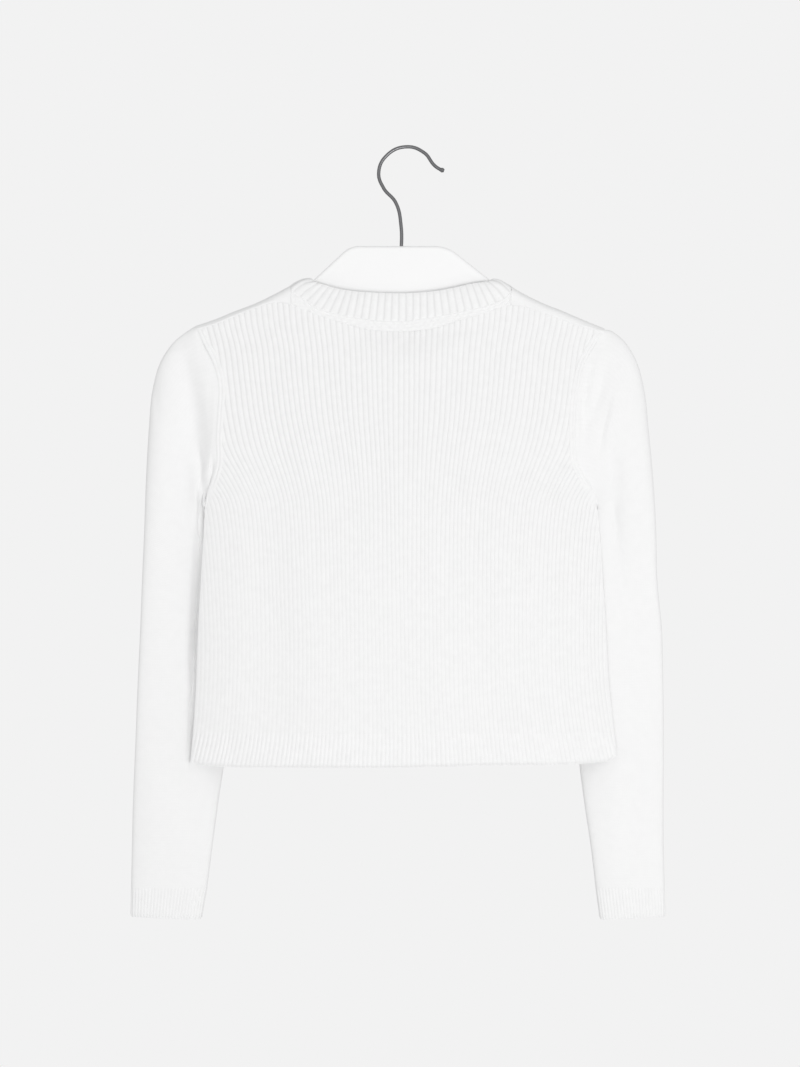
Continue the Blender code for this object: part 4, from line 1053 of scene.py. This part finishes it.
# %% Cuffs
CUFF_RIB, CUFF_DEEP = 3.3, 30
cuffs, cuff_area = {}, {}
for name, hand in (("left", -1), ("right", 1)):
    cuff_top, cuff_end = SLEEVE[-2], SLEEVE[-1]
    fine = np.linspace(0, 2 * math.pi, 4001)
    outline = section_ring(hand, cuff_top, fine)
    lengths = np.concatenate([[0], np.cumsum(np.linalg.norm(np.diff(outline, axis=0), axis=1))])
    count = round(lengths[-1] / CUFF_RIB)
    cuff_ribs = np.linspace(0, count, 6 * count + 1)
    turns = np.interp(cuff_ribs / count * lengths[-1], lengths, fine)
    down = np.array([0, 0.06, 0.2, 0.4, 0.6, 0.8, 0.92, 0.97, 1.0])[:, None]
    top, end = section_ring(hand, cuff_top, turns), section_ring(hand, cuff_end, turns)
    base = lerp(top, end, down[..., None])
    facing = tube_facing(base)
    relief = 0.5 * (rib_relief(cuff_ribs) - 0.8) * smooth_step(0.0, 0.06, down)
    relief = relief - 0.9 * smooth_step(0.92, 1.0, down)
    points = base + facing * relief[..., None]
    cuff_area[name] = grid_area(base)
    cuffs[name] = cloth_piece(f"cuff_rib_{name}", points, knit_uv(cuff_ribs, CUFF_DEEP * down), TRIM_WALL,
                              trim_cotton, [f"cuff_{name}"], facing)

# %% [markdown]
# ## Hanger and hook
#
# The board is one outline, its corners rounded in the flat, then given its thickness and a soft edge
# all round, as a moulding has. The wire is a finer curve than the CAD's, so its bend is round in
# close views.

# %% Hanger
BOARD_TOP, BOARD_HALF, BOARD_ROUND = -96.8, 4.0, 3.2
BOARD_FLAT, BOARD_NECK = (-51.0, 46.0), (-89.0, 91.0)  # ends of its top, and where its slopes go under cloth
BOARD_TIP, TIP_HEIGHT = 199.0, 18.0
BOARD_SLOPE = (103.0, 111.0, 119.0, 130.0, 147.0, 166.0, 185.0, BOARD_TIP)
SEAT = 0.9                                         # room between the board and the cloth over it
BOARD_FOOT = [(176, -192), (130, -178), (80, -166), (30, -156), (0, -154), (-30, -156), (-80, -166),
              (-130, -177), (-176, -190)]


def board_outline():
    """Clockwise from the left end of the top: right slope and tip, foot, left tip and slope."""
    def below_ridge(x, gap):
        return x, float(ridge(x)) - gap

    under = TRIM_WALL + SEAT
    right = [below_ridge(x, under) for x in (BOARD_NECK[1],) + BOARD_SLOPE]
    right.append(below_ridge(BOARD_TIP, TIP_HEIGHT))
    left = [below_ridge(-BOARD_TIP, TIP_HEIGHT)]
    left += [below_ridge(x, under) for x in [-x for x in BOARD_SLOPE[::-1]] + [BOARD_NECK[0]]]
    return [(x, BOARD_TOP) for x in BOARD_FLAT] + right + BOARD_FOOT + left


bm = bmesh.new()
outline = [bm.verts.new(Vector((x, -BOARD_HALF, z)) * MM) for x, z in board_outline()]
bm.faces.new(outline)
for corner, size in ((0, 8.0), (1, 11.0), (10, 5.0), (11, 5.0), (21, 5.0), (22, 5.0)):  # top, then both tips
    bmesh.ops.bevel(bm, geom=[outline[corner]], offset=size * MM, segments=7, profile=0.5,
                    affect="VERTICES", material=-1)
made = bmesh.ops.extrude_face_region(bm, geom=bm.faces[:])["geom"]
bmesh.ops.translate(bm, vec=(0, 2 * BOARD_HALF * MM, 0),
                    verts=[part for part in made if isinstance(part, bmesh.types.BMVert)])
bmesh.ops.recalc_face_normals(bm, faces=bm.faces)
rims = [edge for edge in bm.edges if edge.calc_face_angle(0.0) > math.radians(80)
        and abs(edge.verts[0].co.y - edge.verts[1].co.y) < 1e-6]
bmesh.ops.bevel(bm, geom=rims, offset=BOARD_ROUND * MM, segments=6, profile=0.5, affect="EDGES",
                material=-1, clamp_overlap=False)
board_mesh = mesh_from(bm, "hanger_board")
board_mesh.shade_smooth()
board_mesh.set_sharp_from_angle(angle=math.radians(35))
board = finish_piece(board_mesh, "hanger_board", moulded_white, ["hanger"])

# %% Hook, as (x, z, thickness compared with the wire)
HOOK_WIRE = 3.5
HOOK = [
    (0.0, -109.0, 1.0), (0.0, -76.0, 1.0), (-5.2, -53.4, 1.0), (-17.6, -38.4, 1.0),
    (-22.3, -23.4, 1.0), (-14.6, -6.4, 1.0), (5.4, 2.6, 1.0), (23.2, -3.4, 1.0), (33.4, -16.0, 1.0),
    (38.8, -19.8, 1.0), (41.4, -20.8, 1.42), (43.2, -21.4, 0.9),
]
wire = bpy.data.curves.new("wire", "CURVE")
wire.dimensions, wire.bevel_depth, wire.bevel_resolution = "3D", HOOK_WIRE / 2 * MM, 8
wire.resolution_u, wire.use_fill_caps = 16, True
spline = wire.splines.new("BEZIER")
spline.bezier_points.add(len(HOOK) - 1)
for knot, (hook_x, hook_z, thick) in zip(spline.bezier_points, HOOK):
    knot.co = Vector((hook_x, 0, hook_z)) * MM
    knot.radius = thick
    knot.handle_left_type = knot.handle_right_type = "AUTO"
wire_object = bpy.data.objects.new("wire", wire)
bpy.context.scene.collection.objects.link(wire_object)
bpy.context.view_layer.update()
hook_mesh = bpy.data.meshes.new_from_object(wire_object.evaluated_get(bpy.context.evaluated_depsgraph_get()))
bpy.data.objects.remove(wire_object)
hook_mesh.materials.clear()
hook_mesh.shade_smooth()
finish_piece(hook_mesh, "hook_wire", drawn_steel, ["hanger_hook"])

# %% [markdown]

# %% [markdown]
# ## Camera, floor and light
#
# The picture was taken from straight behind the garment with a long lens. The light is very soft, comes
# from beside the camera, a little low and to the right, and leaves hardly a shadow: the sleeve on that
# side is the brightest part, and the other sleeve hangs in the soft shade behind the body's edge.

# %% Camera
VIEW_HEIGHT, DISTANCE = 1.067, 4.0                  # metres
SENSOR = 36.0
camera = bpy.data.objects.new("camera", bpy.data.cameras.new("camera"))
bpy.context.scene.collection.objects.link(camera)
camera.data.sensor_fit = "VERTICAL"
camera.data.sensor_height = SENSOR
camera.data.lens = SENSOR * DISTANCE / VIEW_HEIGHT
camera.location = (-0.001, -DISTANCE, -0.3841)
camera.rotation_euler = (math.pi / 2, 0, 0)
bpy.context.scene.camera = camera

# %% Floor
FLOOR_RADIUS, FLOOR_LEVEL = 1.8, -1.3
bm = bmesh.new()
bmesh.ops.create_circle(bm, cap_ends=True, radius=FLOOR_RADIUS, segments=96)
bmesh.ops.translate(bm, verts=bm.verts, vec=(0, 0, FLOOR_LEVEL))
floor = bpy.data.objects.new("floor", mesh_from(bm, "floor"))
floor.data.materials.append(new_material("pale_floor", "#ECECEC", Roughness=0.9)[0])
bpy.context.scene.collection.objects.link(floor)

# %% Soft light from all round, and the paper behind
BACKDROP = 0.888                                   # shows as the pale grey-white of the paper
world = bpy.data.worlds.new("studio")
bpy.context.scene.world = world
world.use_nodes = True
tree = world.node_tree
coords = add_node(tree, "ShaderNodeTexCoord").outputs["Generated"]
parts = add_node(tree, "ShaderNodeSeparateXYZ", {"Vector": coords})
from_right = add_node(tree, "ShaderNodeMath", {0: parts.outputs["X"], 1: 0.02, 2: 0.635},
                      operation="MULTIPLY_ADD")
from_top = add_node(tree, "ShaderNodeMath", {0: parts.outputs["Z"], 1: -0.02, 2: from_right.outputs[0]},
                    operation="MULTIPLY_ADD")
ahead = add_node(tree, "ShaderNodeMapRange", {"Value": parts.outputs["Y"], "From Min": 0.0, "From Max": -1.0,
                                              "To Min": 0.0, "To Max": 0.19})
soft = add_node(tree, "ShaderNodeMath", {0: from_top.outputs[0], 1: ahead.outputs[0]}, operation="ADD")
behind = add_node(tree, "ShaderNodeMapRange", {"Value": parts.outputs["Y"], "From Min": 0.80,
                                               "From Max": 0.96}, interpolation_type="SMOOTHSTEP")
level = add_node(tree, "ShaderNodeMix", {"Factor": behind.outputs[0], "A": soft.outputs[0],
                                         "B": BACKDROP}, data_type="FLOAT")
background = tree.nodes["Background"]
tree.links.new(level.outputs["Result"], background.inputs["Strength"])
background.inputs["Color"].default_value = (1, 1, 1, 1)

# %% Key light, beside the camera, a little low and to the right
KEY_PLACE, KEY_AIM = (0.62, -2.75, -0.9), (0, 0, -0.38)
key = bpy.data.objects.new("key", bpy.data.lights.new("key", "AREA"))
key.data.shape, key.data.size, key.data.energy = "DISK", 1.1, 22.0
key.location = KEY_PLACE
key.rotation_euler = (Vector(KEY_AIM) - key.location).to_track_quat("-Z", "Y").to_euler()
bpy.context.scene.collection.objects.link(key)
bpy.context.scene.view_settings.view_transform = "Standard"
